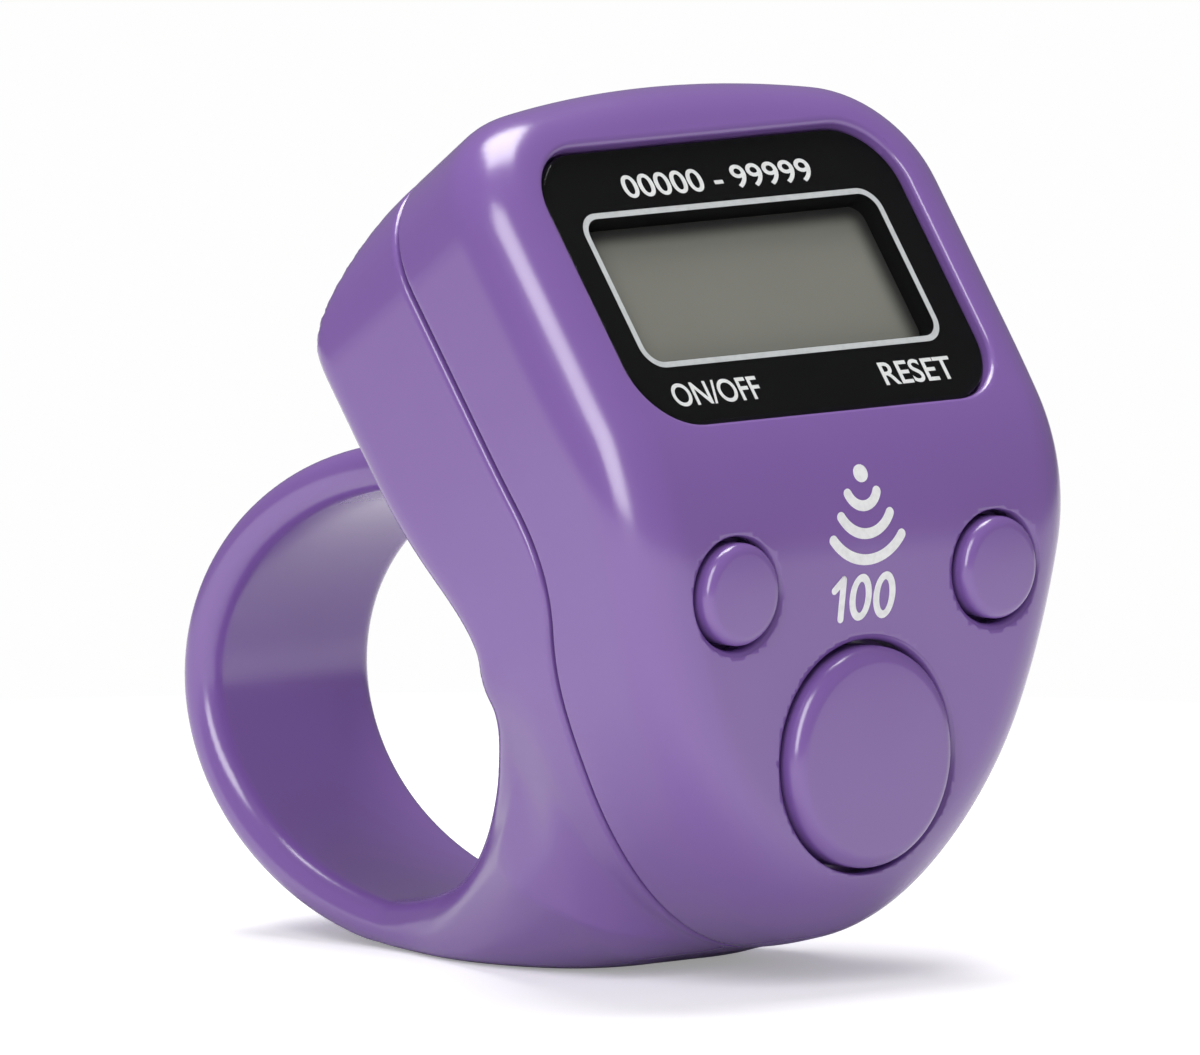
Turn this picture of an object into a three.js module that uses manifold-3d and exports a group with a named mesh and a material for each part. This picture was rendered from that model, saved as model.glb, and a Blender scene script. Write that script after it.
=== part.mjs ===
// Finger tally counter: a two-part moulded casing with a finger ring, a display window, three keys and a beeper.
// Millimetres, X across the counter, -Y towards the front of the keys, +Z up.
// The casing is drawn from a working point on the front face, midway between the two small keys.
import * as THREE from "three";
import { mergeVertices } from "three/addons/utils/BufferGeometryUtils.js";
import Module from "manifold-3d";

const wasm = await Module();
wasm.setup();

// Casing, seen from the side. Distances along the front face start where it begins to lean back.
const frontY = -0.4; // the upright lower face stands this far in front of the working point
const bendHeight = 0.99; // height of the start of the bend above the working point
const bendRadius = 12;
const displayTilt = 36; // degrees that the display leans back from upright
const faceTop = 26.3; // up to the crown
const faceBottom = 17.4; // down to the toe
const headDepth = 15;
const toeDepth = 12.9;
const toeSpreadAt = -7; // along the front face, below which the toe deepens into the heel
const toeSpread = 10;
const turnLow = -9; // from here up the depth direction turns
const turnHigh = 6; // until it is square to the display
const toeDroop = 5.5; // degrees that the underside of the toe runs down towards the back
const droopFrom = -9; // along the front face, below which it starts to
const deepenLow = -2.5; // from here up the casing deepens
const deepenHigh = 13.5; // until it has the head's depth
const wall = 1.4;

// Casing, seen from the front
const halfWidth = 15;
const widestAt = 11.5; // along the front face, where the sides stop running straight
const toeTaper = 2.3; // 2 draws the toe in as an ellipse, more keeps it full
const cornerRadius = 6.4;
const crownRadius = 60;
const frontEdge = 3;
const backEdge = 1.3;
const crownEdgeSide = 4.8; // the back edge swells to this at the crown
const crownEdgeDepth = 8;
const crownStart = 21; // along the front face, where the back edge starts to swell
const crownFall = 0.15; // how much the inner limit of that swelling falls away towards the corners

// Parting line between the two shells
const partingDepth = 7.2; // behind the front face
const seamGap = 0.2;

// Finger ring and the heel that joins it to the toe
const ringY = 23.7;
const ringZ = -7.2;
const ringInnerDepth = 14.6; // half the oval opening, front to back
const ringInnerHeight = 9.9;
const ringWall = 2.2;
const ringHalfWidth = 5.4;
const ringLip = 1.1;
const ringTopAngle = 128; // degrees from the rearmost point, where the ring enters the head
const heelAngle = -78; // where it starts to spread into the heel
const heelSweep = 80;
const heelRise = 6.5; // the heel fills the opening's front corner by this much
const heelCurve = 1.8; // how late the toe deepens into the heel
const heelSwell = 1.1; // how late the heel rises along its sweep
const heelHalfWidth = 10;
const heelEdge = 6; // the heel's sides round into its sole over at most this
const soleRear = [20.5, -20.3]; // the sole's curve, forwards and up from the working point
const soleMiddle = [12.3, -20.3];
const soleFront = [6.1, -16.8];
const footDrop = 19.1; // the flat of the foot lies this far below the working point

// Display: outward distances are from the lens front, which lies in a pocket of the front shell
const windowAt = 14.84; // along the front face, from the start of the bend to the window's middle
const lensRecess = 0.45;
const lensWidth = 22.9;
const lensHeight = 14.8;
const lensCorner = 3.2;
const lensThick = 1;
const lensClearance = 0.15;
const filmThick = 0.12;
const tapeThick = 0.15;
const tapeInset = 0.5; // from the lens's edge
const tapeClear = 0.4; // round the window
const faceGap = 0.1; // between layers that lie on each other
const windowWidth = 18.9;
const windowHeight = 8;
const windowCorner = 1;
const pocketFloor = 0.75;
const pocketRim = 1.3; // material round the pocket, behind the shell's own wall
const cellWidth = 20.4;
const cellHeight = 9.8;
const cellLedge = 0.8; // the rear glass reaches this much lower, for the ribbon
const cellThick = 1.1;
const sheetThick = 0.2;
const holderWall = 0.9;
const holderThick = 1.2;

// Keys: outward distances are from the upright front face, heights from the working point
const keyRadius = 2.4;
const keyX = 8.36;
const keyProud = 0.6;
const countRadius = 5.2;
const countDrop = 8.22;
const countProud = 0.8;
const keyClearance = 0.25;
const keyEdge = 0.5;
const keyFlange = 0.65; // wider than the cap, to hold it behind the wall
const keyFlangeThick = 0.6;
const keyTravel = 0.5;
const keyPlay = 0.3; // between the flange and the wall
const stemRadius = 1.3;
const stemLength = 0.6;
const domeHeight = 1.6;
const domeWall = 0.4;
const domeGap = 0.3; // between a stem and its dome
const pillRadius = 0.8;
const pillThick = 0.3;

// Circuit board and what it carries
const boardThick = 0.8;
const boardInset = 1; // from the inside of the wall
const boardTop = 4.4;
const boardBossX = halfWidth - 7.4;
const boardBossDrop = 5;
const bossRadius = 1.5;
const pegRadius = 0.8;
const pegHeight = 2.4;
const ribbonWidth = 15;
const ribbonThick = 0.15;
const blobRadius = 2.8;
const blobHeight = 1.1;

// Screws
const screwRadius = 0.7;
const screwClearance = 0.12;
const screwHead = 1.3;
const screwHeadThick = 0.8;
const boardScrewLength = 3.4;
const shellScrewLength = 5.4;
const doorScrewLength = 3;
const shellScrewX = halfWidth - 5;
const shellScrewUp = 7; // up the display from the window's middle
const screwFloor = 2; // of the rear shell's screw wells, behind the parting

// Battery in the head
const batteryRadius = 3.95;
const batteryThick = 3.6;
const batteryX = -2.2;
const batteryUp = 3.1;
const batteryClearance = 0.3;
const cupWall = 0.8;
const doorWidth = 14.2;
const doorHeight = 9.2;
const doorCorner = 1.6;
const doorThick = 1;
const doorClearance = 0.15;
const doorLedge = 0.9;
const doorScrewX = 4.9;
const contactWidth = 1.6;
const contactThick = 0.25;

// Beeper in the toe
const buzzerRadius = 5.4;
const buzzerThick = 0.2;
const ceramicRadius = 4;
const ceramicThick = 0.15;
const buzzerDrop = 5.2;
const buzzerDepth = 9.7; // behind the upright front face
const leadRadius = 0.3;
const leadRedX = 1;
const leadBlackX = 2.4;
const leadRise = 1; // straight out of its joint
const leadUp = 1; // where the leads meet the board, below the working point

const degrees = THREE.MathUtils.degToRad;
const { lerp, smoothstep, clamp } = THREE.MathUtils;

// A closed geometry as a solid, moved by the matrix if there is one
function solid(geometry, matrix) {
  const bare = geometry.clone();
  bare.deleteAttribute("normal");
  bare.deleteAttribute("uv");
  if (matrix) bare.applyMatrix4(matrix);
  const merged = mergeVertices(bare, 1e-4);
  const corners = merged.index.array;
  const kept = [];
  for (let i = 0; i < corners.length; i += 3) {
    const [a, b, c] = corners.slice(i, i + 3);
    if (a !== b && b !== c && c !== a) kept.push(a, b, c);
  }
  const made = (index) =>
    new wasm.Manifold(
      new wasm.Mesh({
        numProp: 3,
        vertProperties: merged.attributes.position.array,
        triVerts: new Uint32Array(index),
      }),
    );
  const body = made(kept);
  return body.volume() < 0 ? made(kept.reverse()) : body;
}

// A solid as a geometry with flat-shaded faces
function geometryOf(body) {
  const mesh = body.getMesh();
  const geometry = new THREE.BufferGeometry();
  geometry.setAttribute("position", new THREE.BufferAttribute(new Float32Array(mesh.vertProperties), 3));
  geometry.setIndex(new THREE.BufferAttribute(new Uint32Array(mesh.triVerts), 1));
  const flat = geometry.toNonIndexed();
  flat.computeVertexNormals();
  return flat;
}

// A closed skin over mirrored loops. Each loop is given by its right half, from one point on the
// middle plane to another, and both ends are closed by rungs from side to side.
function skin(halves) {
  const loops = halves.map((half) => [
    ...half,
    ...half.slice(1, -1).reverse().map(([x, y, z]) => [-x, y, z]),
  ]);
  const count = loops[0].length;
  const rows = halves[0].length;
  const index = [];
  for (let loop = 0; loop + 1 < loops.length; loop++) {
    for (let i = 0; i < count; i++) {
      const a = loop * count + i;
      const b = loop * count + ((i + 1) % count);
      index.push(a, b, b + count, a, b + count, a + count);
    }
  }
  for (const loop of [0, loops.length - 1]) {
    for (let row = 0; row + 1 < rows; row++) {
      const right = loop * count + row;
      const left = loop * count + ((count - row) % count);
      const leftNext = loop * count + count - row - 1;
      const rung = [];
      if (row > 0) rung.push([right, leftNext, left]);
      if (row + 2 < rows) rung.push([right, right + 1, leftNext]);
      for (const [a, b, c] of rung) index.push(a, ...(loop === 0 ? [c, b] : [b, c]));
    }
  }
  const geometry = new THREE.BufferGeometry();
  geometry.setAttribute("position", new THREE.Float32BufferAttribute(loops.flat(2), 3));
  geometry.setIndex(index);
  return geometry;
}

// The front face at a distance s along it: its place in the side view and its lean
function face(s) {
  const lean = clamp(s / bendRadius, 0, degrees(displayTilt));
  const straight = s - lean * bendRadius;
  return {
    y: frontY + bendRadius * (1 - Math.cos(lean)) + straight * Math.sin(lean),
    z: bendHeight + bendRadius * Math.sin(lean) + straight * Math.cos(lean),
  };
}

// A point of the casing: across, along the front face, and deep behind it
function place(x, s, depth) {
  const { y, z } = face(s);
  const droop = toeDroop * (1 - smoothstep(s, -faceBottom, droopFrom));
  const turn = degrees(displayTilt * smoothstep(s, turnLow, turnHigh) + droop);
  return [x, y + depth * Math.cos(turn), z - depth * Math.sin(turn)];
}

function thickness(s) {
  const below = Math.max(toeSpreadAt - s, 0) / (toeSpreadAt + faceBottom);
  return lerp(toeDepth, headDepth, smoothstep(s, deepenLow, deepenHigh)) + toeSpread * below ** heelCurve;
}

// How deep the back lies when the casing is drawn in by skinDepth, square to the slope of its back
function backDepth(s, skinDepth) {
  const slope = thickness(s - 0.5) - thickness(s + 0.5);
  return thickness(s) - skinDepth * Math.hypot(1, slope);
}

// The casing's outline from the toe to the crown, right half, as points across and along the face
// with the direction that points out of it
function outline() {
  const toe = 15;
  const side = 3;
  const corner = 6;
  const crown = 2;
  const toeHeight = faceBottom + widestAt;
  const cornerX = halfWidth - cornerRadius;
  const crownAt = faceTop - crownRadius;
  const cornerAt = crownAt + Math.sqrt((crownRadius - cornerRadius) ** 2 - cornerX ** 2);
  const junction = Math.atan2(cornerAt - crownAt, cornerX);
  const rows = [];
  for (let i = 0; i < toe; i++) {
    const angle = (Math.PI / 2) * (1 - i / toe) ** 1.3;
    const down = Math.sin(angle) ** (2 / toeTaper);
    const fall = (toeTaper * down ** (toeTaper - 1)) / (2 * toeHeight);
    const out = new THREE.Vector2(Math.cos(angle) / halfWidth, -fall);
    rows.push({ x: halfWidth * Math.cos(angle), s: widestAt - toeHeight * down, out: out.normalize() });
  }
  for (let i = 0; i < side; i++) {
    rows.push({ x: halfWidth, s: lerp(widestAt, cornerAt, i / side), out: new THREE.Vector2(1, 0) });
  }
  for (let i = 0; i < corner; i++) {
    const out = new THREE.Vector2(1, 0).rotateAround(new THREE.Vector2(), (junction * i) / corner);
    rows.push({ x: cornerX + cornerRadius * out.x, s: cornerAt + cornerRadius * out.y, out });
  }
  for (let i = 0; i <= crown; i++) {
    const angle = lerp(junction, Math.PI / 2, i / crown);
    const out = new THREE.Vector2(Math.cos(angle), Math.sin(angle));
    rows.push({ x: crownRadius * out.x, s: crownAt + crownRadius * out.y, out });
  }
  rows[0].x = 0;
  rows.at(-1).x = 0;
  return rows;
}

const casingOutline = outline();

// One half loop of the casing: the outline drawn in by an inset, at a depth behind the front face
function casingLoop(inset, depth) {
  return casingOutline.map(({ x, s, out }) =>
    place(Math.max(x - inset(s, out) * out.x, 0), s - inset(s, out) * out.y, depth(s)),
  );
}

// The whole casing as one rounded slab, drawn in by skinDepth all round
function slab(skinDepth, steps) {
  const loops = [];
  const edge = Math.max(frontEdge - skinDepth, 0.5);
  const crownLimit = (s) => faceTop - crownEdgeSide - crownFall * (faceTop - s);
  const swollen = (s, out) => (s - crownLimit(s)) / Math.max(out.y, 0.3);
  const side = (s, out) => Math.max(Math.max(swollen(s, out), backEdge) - skinDepth, 0.3);
  const swell = (s) => lerp(backEdge, crownEdgeDepth, smoothstep(s, crownStart, faceTop));
  const deep = (s) => Math.max(swell(s) - skinDepth, 0.3);
  for (let i = 0; i <= steps; i++) {
    const angle = (Math.PI / 2) * (i / steps);
    const inset = skinDepth + edge * (1 - Math.sin(angle));
    const depth = skinDepth + edge * (1 - Math.cos(angle));
    loops.push(casingLoop(() => inset, () => depth));
  }
  for (const share of [0.33, 0.67]) {
    const start = (s) => backDepth(s, skinDepth) - deep(s);
    loops.push(casingLoop(() => skinDepth, (s) => lerp(skinDepth + edge, start(s), share)));
  }
  for (let i = 0; i <= steps; i++) {
    const angle = (Math.PI / 2) * (i / steps);
    loops.push(
      casingLoop(
        (s, out) => skinDepth + side(s, out) * (1 - Math.cos(angle)),
        (s) => backDepth(s, skinDepth) - deep(s) * (1 - Math.sin(angle)),
      ),
    );
  }
  return solid(skin(loops));
}

// One half section of the ring or heel, from its inner point to its outer point in the side view
function ringLoop(inner, outer, half, edgeAcross, edgeThrough) {
  const thick = inner.distanceTo(outer);
  const steps = 3;
  const section = [[0, 0]];
  for (let i = 0; i <= steps; i++) {
    const angle = (Math.PI / 2) * (i / steps);
    section.push([half - ringLip * (1 - Math.sin(angle)), ringLip * (1 - Math.cos(angle))]);
  }
  for (let i = 0; i <= steps; i++) {
    const angle = (Math.PI / 2) * (i / steps);
    const through = thick - edgeThrough * (1 - Math.sin(angle));
    section.push([half - edgeAcross * (1 - Math.cos(angle)), Math.max(through, ringLip + 0.05)]);
  }
  section.push([0, thick]);
  return section.map(([x, through]) => {
    const at = inner.clone().lerp(outer, through / thick);
    return [x, at.x, at.y];
  });
}

// The finger ring and the heel: one band swept round the opening
function ringAndHeel() {
  const oval = (angle, grow) =>
    new THREE.Vector2(
      ringY + (ringInnerDepth + grow) * Math.cos(angle),
      ringZ + (ringInnerHeight + grow) * Math.sin(angle),
    );
  const start = degrees(heelAngle);
  const sole = new THREE.CubicBezierCurve(
    oval(start, ringWall),
    new THREE.Vector2(...soleRear),
    new THREE.Vector2(...soleMiddle),
    new THREE.Vector2(...soleFront),
  );
  const loops = [];
  const ringSteps = 20;
  for (let i = 0; i < ringSteps; i++) {
    const angle = lerp(degrees(ringTopAngle), start, i / ringSteps);
    loops.push(ringLoop(oval(angle, 0), oval(angle, ringWall), ringHalfWidth, ringLip, ringLip));
  }
  const heelSteps = 9;
  for (let i = 0; i <= heelSteps; i++) {
    const t = i / heelSteps;
    const inner = oval(start - degrees(heelSweep) * t, 0);
    inner.y += heelRise * t ** heelSwell;
    const outer = sole.getPoint(t);
    const half = lerp(ringHalfWidth, heelHalfWidth, smoothstep(t, -0.1, 1));
    const through = Math.min(heelEdge, inner.distanceTo(outer) - ringLip - 0.1);
    const round = smoothstep(t, 0, 0.8);
    loops.push(ringLoop(inner, outer, half, lerp(ringLip, half - 0.4, round), lerp(ringLip, through, round)));
  }
  return solid(skin(loops));
}

// Two working frames: across, up and outward on the display, and the same on the upright face of the keys
const across = new THREE.Vector3(1, 0, 0);
const tilt = degrees(displayTilt);
const displayFrame = new THREE.Matrix4()
  .makeBasis(
    across,
    new THREE.Vector3(0, Math.sin(tilt), Math.cos(tilt)),
    new THREE.Vector3(0, -Math.cos(tilt), Math.sin(tilt)),
  )
  .setPosition(...place(0, windowAt, lensRecess));
const keyFrame = new THREE.Matrix4()
  .makeBasis(across, new THREE.Vector3(0, 0, 1), new THREE.Vector3(0, -1, 0))
  .setPosition(0, frontY, 0);

const counter = new THREE.Group();
const display = new THREE.Group();
display.applyMatrix4(displayFrame);
const keys = new THREE.Group();
keys.applyMatrix4(keyFrame);
counter.add(display, keys);

function add(group, name, shape, colour, roughness, metalness = 0) {
  const material = new THREE.MeshStandardMaterial({ color: colour, roughness, metalness });
  const mesh = new THREE.Mesh(shape.isBufferGeometry ? shape : geometryOf(shape), material);
  mesh.name = name;
  group.add(mesh);
}

// A rounded rectangle as an outline
function roundedOutline(width, height, corner, Path = THREE.Shape) {
  const outline = new Path();
  const x = width / 2 - corner;
  const y = height / 2 - corner;
  outline.absarc(x, y, corner, 0, Math.PI / 2);
  outline.absarc(-x, y, corner, Math.PI / 2, Math.PI);
  outline.absarc(-x, -y, corner, Math.PI, Math.PI * 1.5);
  outline.absarc(x, -y, corner, Math.PI * 1.5, Math.PI * 2);
  return outline;
}

// An outline with thickness, between two outward distances
function plate(outline, inner, outer, curveSegments = 5) {
  const options = { depth: outer - inner, bevelEnabled: false, curveSegments };
  return new THREE.ExtrudeGeometry(outline, options).translate(0, 0, inner);
}

// A rounded plate centred on a point of its frame
function roundedPlate(width, height, corner, inner, outer, x = 0, y = 0) {
  return plate(roundedOutline(width, height, corner), inner, outer).translate(x, y, 0);
}

// A disc or rod standing outward from a point of its frame
function rod(radius, inner, outer, x = 0, y = 0, sides = 24) {
  return new THREE.CylinderGeometry(radius, radius, outer - inner, sides)
    .rotateX(Math.PI / 2)
    .translate(x, y, (inner + outer) / 2);
}

// A turned piece, from its profile of radius and outward distance
function turned(profile, x = 0, y = 0, sides = 28) {
  const points = profile.map(([radius, out]) => new THREE.Vector2(radius, out));
  return new THREE.LatheGeometry(points, sides).rotateX(Math.PI / 2).translate(x, y, 0);
}

// Turns an outline drawn forwards and up so that it stands in the side view, with its thickness across
const turnUpright = new THREE.Matrix4().makeBasis(
  new THREE.Vector3(0, 1, 0),
  new THREE.Vector3(0, 0, 1),
  new THREE.Vector3(1, 0, 0),
);

// A bent strip of sheet, from its line in the side view of its frame, centred across it
function strip(line, thick, width, x = 0) {
  const points = line.map(([up, out]) => new THREE.Vector2(up, out));
  const side = (sign) =>
    points.map((point, i) => {
      const before = points[Math.max(i - 1, 0)];
      const after = points[Math.min(i + 1, points.length - 1)];
      const along = after.clone().sub(before).normalize();
      return new THREE.Vector2(point.x - (sign * along.y * thick) / 2, point.y + (sign * along.x * thick) / 2);
    });
  const shape = new THREE.Shape([...side(1), ...side(-1).reverse()]);
  return plate(shape, -width / 2, width / 2).applyMatrix4(turnUpright).translate(x, 0, 0);
}

// Layers behind the lens, as outward distances of their front faces
const filmAt = -lensThick - faceGap;
const tapeAt = filmAt - filmThick - faceGap;
const pocketAt = tapeAt - tapeThick - faceGap;
const floorBack = pocketAt - pocketFloor;
const polariserAt = floorBack - faceGap;
const cellAt = polariserAt - sheetThick - faceGap;
const reflectorAt = cellAt - cellThick - faceGap;
const holderAt = reflectorAt - sheetThick - faceGap;

// Depths in the head, as outward distances from the lens front
const headPart = lensRecess - partingDepth;
const headBack = lensRecess - headDepth;
const headBackInside = headBack + wall;
const doorInside = headBack + doorThick + faceGap;
const batteryBack = doorInside + faceGap;
const batteryFront = batteryBack + batteryThick;
const cupFloor = batteryFront + batteryClearance + contactThick + faceGap;

// Depths behind the keys, as outward distances from the upright face
const flangeFront = -wall - keyPlay;
const flangeBack = flangeFront - keyFlangeThick;
const stemBack = flangeBack - stemLength;
const domeFront = stemBack - domeGap;
const boardFront = domeFront - domeHeight - faceGap;
const boardBack = boardFront - boardThick;

// The casing is one rounded form with its ring and heel, stood on a flat foot and cut along the parting line
const footReach = 8 * halfWidth;
const footBlock = new THREE.BoxGeometry(footReach, footReach, footReach).translate(0, 0, -footDrop - footReach / 2);
const body = slab(0, 5);
const casing = body.add(ringAndHeel()).subtract(solid(footBlock));
const cavity = slab(wall, 2);
const insideWall = slab(wall / 2, 2); // what is added inside a shell reaches to the middle of its wall

// Everything between two depths of the casing: a depth of null means without limit on that side
function between(near, far) {
  const reach = 5 * halfWidth;
  const first = -faceBottom - halfWidth / 2;
  const last = faceTop + halfWidth / 2;
  const steps = 20;
  const line = (depth) =>
    Array.from({ length: steps + 1 }, (_, i) => {
      const [, y, z] = place(0, lerp(first, last, i / steps), depth);
      return [y, z];
    });
  const nearLine = near === null ? [[-reach, -reach], [-reach, reach]] : line(near);
  const farLine = far === null ? [[reach, -reach], [reach, reach]] : line(far);
  const shape = new THREE.Shape([...nearLine, ...farLine.reverse()].map(([y, z]) => new THREE.Vector2(y, z)));
  return solid(plate(shape, -reach, reach), turnUpright);
}

const inDisplay = (geometry) => solid(geometry, displayFrame);
const inKeys = (geometry) => solid(geometry, keyFrame);
const mirrored = [-1, 1];

// Front shell: pocket and window for the display, holes for the keys, bosses for the screws and a peg
let frontShell = body.intersect(between(null, partingDepth - seamGap / 2)).subtract(cavity);
const pocketWidth = lensWidth + 2 * lensClearance;
const pocketHeight = lensHeight + 2 * lensClearance;
const pocketCorner = lensCorner + lensClearance;
const rimmed = [pocketWidth + 2 * pocketRim, pocketHeight + 2 * pocketRim, pocketCorner + pocketRim];
frontShell = frontShell
  .add(inDisplay(roundedPlate(...rimmed, floorBack, lensRecess - wall / 2)).intersect(insideWall))
  .subtract(inDisplay(roundedPlate(pocketWidth, pocketHeight, pocketCorner, pocketAt, lensRecess + wall)))
  .subtract(inDisplay(roundedPlate(windowWidth, windowHeight, windowCorner, floorBack - wall, 0)));
for (const side of mirrored) {
  const at = [side * shellScrewX, shellScrewUp];
  frontShell = frontShell
    .add(inDisplay(rod(bossRadius, headPart + seamGap, pocketAt - pocketFloor / 2, ...at)))
    .subtract(inDisplay(rod(screwRadius + screwClearance, headPart, floorBack - wall / 2, ...at, 12)));
  const post = [side * boardBossX, -boardBossDrop];
  frontShell = frontShell
    .add(inKeys(rod(bossRadius, boardFront + faceGap, -wall / 2, ...post)))
    .subtract(inKeys(rod(screwRadius + screwClearance, boardFront, -wall, ...post, 12)));
}
frontShell = frontShell.add(inKeys(rod(pegRadius, boardBack, -wall / 2, 0, pegHeight, 12)));

// Keys: a cap in its hole, with a flange behind the wall, a stem, a rubber dome and a carbon pill
function key(name, radius, proud, x, y, colour) {
  const hole = radius + keyClearance;
  frontShell = frontShell.subtract(inKeys(rod(hole, -wall * 2, wall, x, y, 32)));
  const edge = [0, 30, 60, 90].map((angle) => [
    radius - keyEdge * (1 - Math.cos(degrees(angle))),
    proud - keyEdge * (1 - Math.sin(degrees(angle))),
  ]);
  const flange = radius + keyFlange;
  const cap = [
    [0, stemBack],
    [stemRadius, stemBack],
    [stemRadius, flangeBack],
    [flange, flangeBack],
    [flange, flangeFront],
    [radius, flangeFront],
    ...edge,
    [0, proud],
  ];
  add(keys, name + "_button", solid(turned(cap, x, y, 32)), colour, 0.35);
  const base = domeFront - domeHeight;
  const shoulder = stemRadius + 2 * domeWall;
  const dome = [
    [0, domeFront - domeWall],
    [stemRadius - domeWall, domeFront - domeWall],
    [shoulder, base + domeWall],
    [shoulder, base],
    [shoulder + 2 * domeWall, base],
    [shoulder + 2 * domeWall, base + domeWall],
    [shoulder + domeWall, base + domeWall],
    [stemRadius, domeFront],
    [0, domeFront],
  ];
  add(keys, name + "_dome", solid(turned(dome, x, y, 20)), 0xc9ccc8, 0.6);
  const pillFront = domeFront - Math.max(domeWall, keyTravel - domeGap) - faceGap;
  add(keys, name + "_pill", solid(rod(pillRadius, pillFront - pillThick, pillFront, x, y, 12)), 0x1b1b1d, 0.7);
}
key("power", keyRadius, keyProud, -keyX, 0, 0x8a64ad);
key("reset", keyRadius, keyProud, keyX, 0, 0x8a64ad);
key("count", countRadius, countProud, 0, -countDrop, 0x8a64ad);
add(counter, "front_shell", frontShell, 0x8563a8, 0.35);

// Rear shell: carries the ring, a tongue that locates the front shell, screw wells, the battery cup
// with its door frame, and the beeper's seat
const tongue = 0.7;
const tongueHeight = 1.2;
const tongueClearance = 0.15;
const tongueRoot = 1.4;
const tongueInside = slab(wall + tongueClearance + tongue, 1);
let tongueBand = slab(wall + tongueClearance, 1)
  .intersect(between(partingDepth - tongueHeight, partingDepth + tongueRoot))
  .add(insideWall.intersect(between(partingDepth + seamGap / 2, partingDepth + tongueRoot)))
  .subtract(tongueInside);
for (const side of mirrored) {
  const notch = rod(bossRadius + 2 * tongueClearance, headPart, lensRecess, side * shellScrewX, shellScrewUp);
  tongueBand = tongueBand.subtract(inDisplay(notch));
}
const wellRadius = screwHead + screwClearance;
const wellSeat = headPart - seamGap / 2 - screwFloor;
const cupRadius = batteryRadius + batteryClearance;
const batteryPlace = [batteryX, batteryUp];
const doorScrewPlace = [doorScrewX, batteryUp];
const doorHole = [doorWidth + 2 * doorClearance, doorHeight + 2 * doorClearance, doorCorner + doorClearance];
const frameSize = [doorWidth + 2 * doorLedge, doorHeight + 2 * doorLedge, doorCorner + doorLedge];
let fittings = inDisplay(roundedPlate(...frameSize, headBack, doorInside + doorLedge, 0, batteryUp))
  .add(inDisplay(rod(cupRadius + cupWall, doorInside, cupFloor + cupWall, ...batteryPlace)))
  .add(inDisplay(rod(bossRadius, doorInside, doorInside + doorScrewLength + cupWall, ...doorScrewPlace)));
for (const side of mirrored) {
  const well = rod(wellRadius + cupWall, headBack, headPart - seamGap / 2, side * shellScrewX, shellScrewUp);
  fittings = fittings.add(inDisplay(well));
}
let rearShell = casing
  .intersect(between(partingDepth + seamGap / 2, null))
  .subtract(cavity)
  .add(tongueBand)
  .add(fittings.intersect(insideWall))
  .subtract(inDisplay(roundedPlate(...doorHole, headBack - wall, doorInside, 0, batteryUp)))
  .subtract(inDisplay(rod(cupRadius, doorInside - wall, cupFloor, ...batteryPlace)))
  .subtract(
    inDisplay(rod(screwRadius + screwClearance, doorInside - wall, doorInside + doorScrewLength, ...doorScrewPlace, 12)),
  );
for (const side of mirrored) {
  const at = [side * shellScrewX, shellScrewUp];
  rearShell = rearShell
    .subtract(inDisplay(rod(screwRadius + screwClearance, headBack, headPart + wall, ...at, 12)))
    .subtract(inDisplay(rod(wellRadius, headBack - wall, wellSeat, ...at, 20)));
}

// Contact springs: one under the cell, one along its rim, both reaching down to the board
const rimUp = batteryUp - batteryRadius - faceGap - contactThick / 2;
const negativeX = batteryX - contactWidth;
const positiveX = batteryX + contactWidth;
const boardPoint = (height, gap) => {
  const world = new THREE.Vector3(0, height, boardBack - gap).applyMatrix4(keyFrame);
  const local = world.applyMatrix4(displayFrame.clone().invert());
  return [local.y, local.z];
};
const springAt = cupFloor - faceGap - contactThick / 2;
const tail = [boardPoint(boardTop - 2.2, 1.4), boardPoint(boardTop - 2.4, contactThick / 2 + faceGap)];
const negative = [
  [batteryUp + batteryRadius / 2, springAt],
  [rimUp + 1.6, springAt],
  [rimUp + 1.2, cupFloor + cupWall + 1],
  ...tail,
];
const positive = [
  [rimUp, batteryBack + 0.6],
  [rimUp, cupFloor + cupWall + 0.6],
  ...tail,
];
const slotFor = (up, x, inner) => roundedPlate(contactWidth + 0.6, contactThick + 1.2, 0.2, inner, cupFloor + wall, x, up);
rearShell = rearShell
  .subtract(inDisplay(slotFor(rimUp + 1.4, negativeX, cupFloor - faceGap)))
  .subtract(inDisplay(slotFor(rimUp, positiveX, doorInside + doorLedge / 2)));
add(display, "battery_contact_negative", solid(strip(negative, contactThick, contactWidth, negativeX)), 0xb9bcc0, 0.3, 1);
add(display, "battery_contact_positive", solid(strip(positive, contactThick, contactWidth, positiveX)), 0xb9bcc0, 0.3, 1);

// Beeper: a brass disc with a ceramic disc on it, seated in a ring of the rear shell
const buzzerAt = -buzzerDepth;
const seatRadius = buzzerRadius + lensClearance;
const seat = inKeys(rod(seatRadius + cupWall, buzzerAt - 3.4, buzzerAt + 0.6, 0, -buzzerDrop));
rearShell = rearShell
  .add(seat.intersect(insideWall))
  .subtract(inKeys(rod(seatRadius, buzzerAt - buzzerThick - faceGap, buzzerAt + wall, 0, -buzzerDrop)))
  .subtract(inKeys(rod(seatRadius - cupWall, buzzerAt - 2, buzzerAt + wall, 0, -buzzerDrop)));
add(keys, "buzzer_disc", solid(rod(buzzerRadius, buzzerAt - buzzerThick, buzzerAt, 0, -buzzerDrop)), 0xc9a24a, 0.3, 1);
const ceramicAt = buzzerAt + faceGap;
add(keys, "buzzer_ceramic", solid(rod(ceramicRadius, ceramicAt, ceramicAt + ceramicThick, 0, -buzzerDrop)), 0xe4e0d4, 0.5);
const leadShape = new THREE.Shape().absarc(0, 0, leadRadius, 0, 2 * Math.PI);
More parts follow.
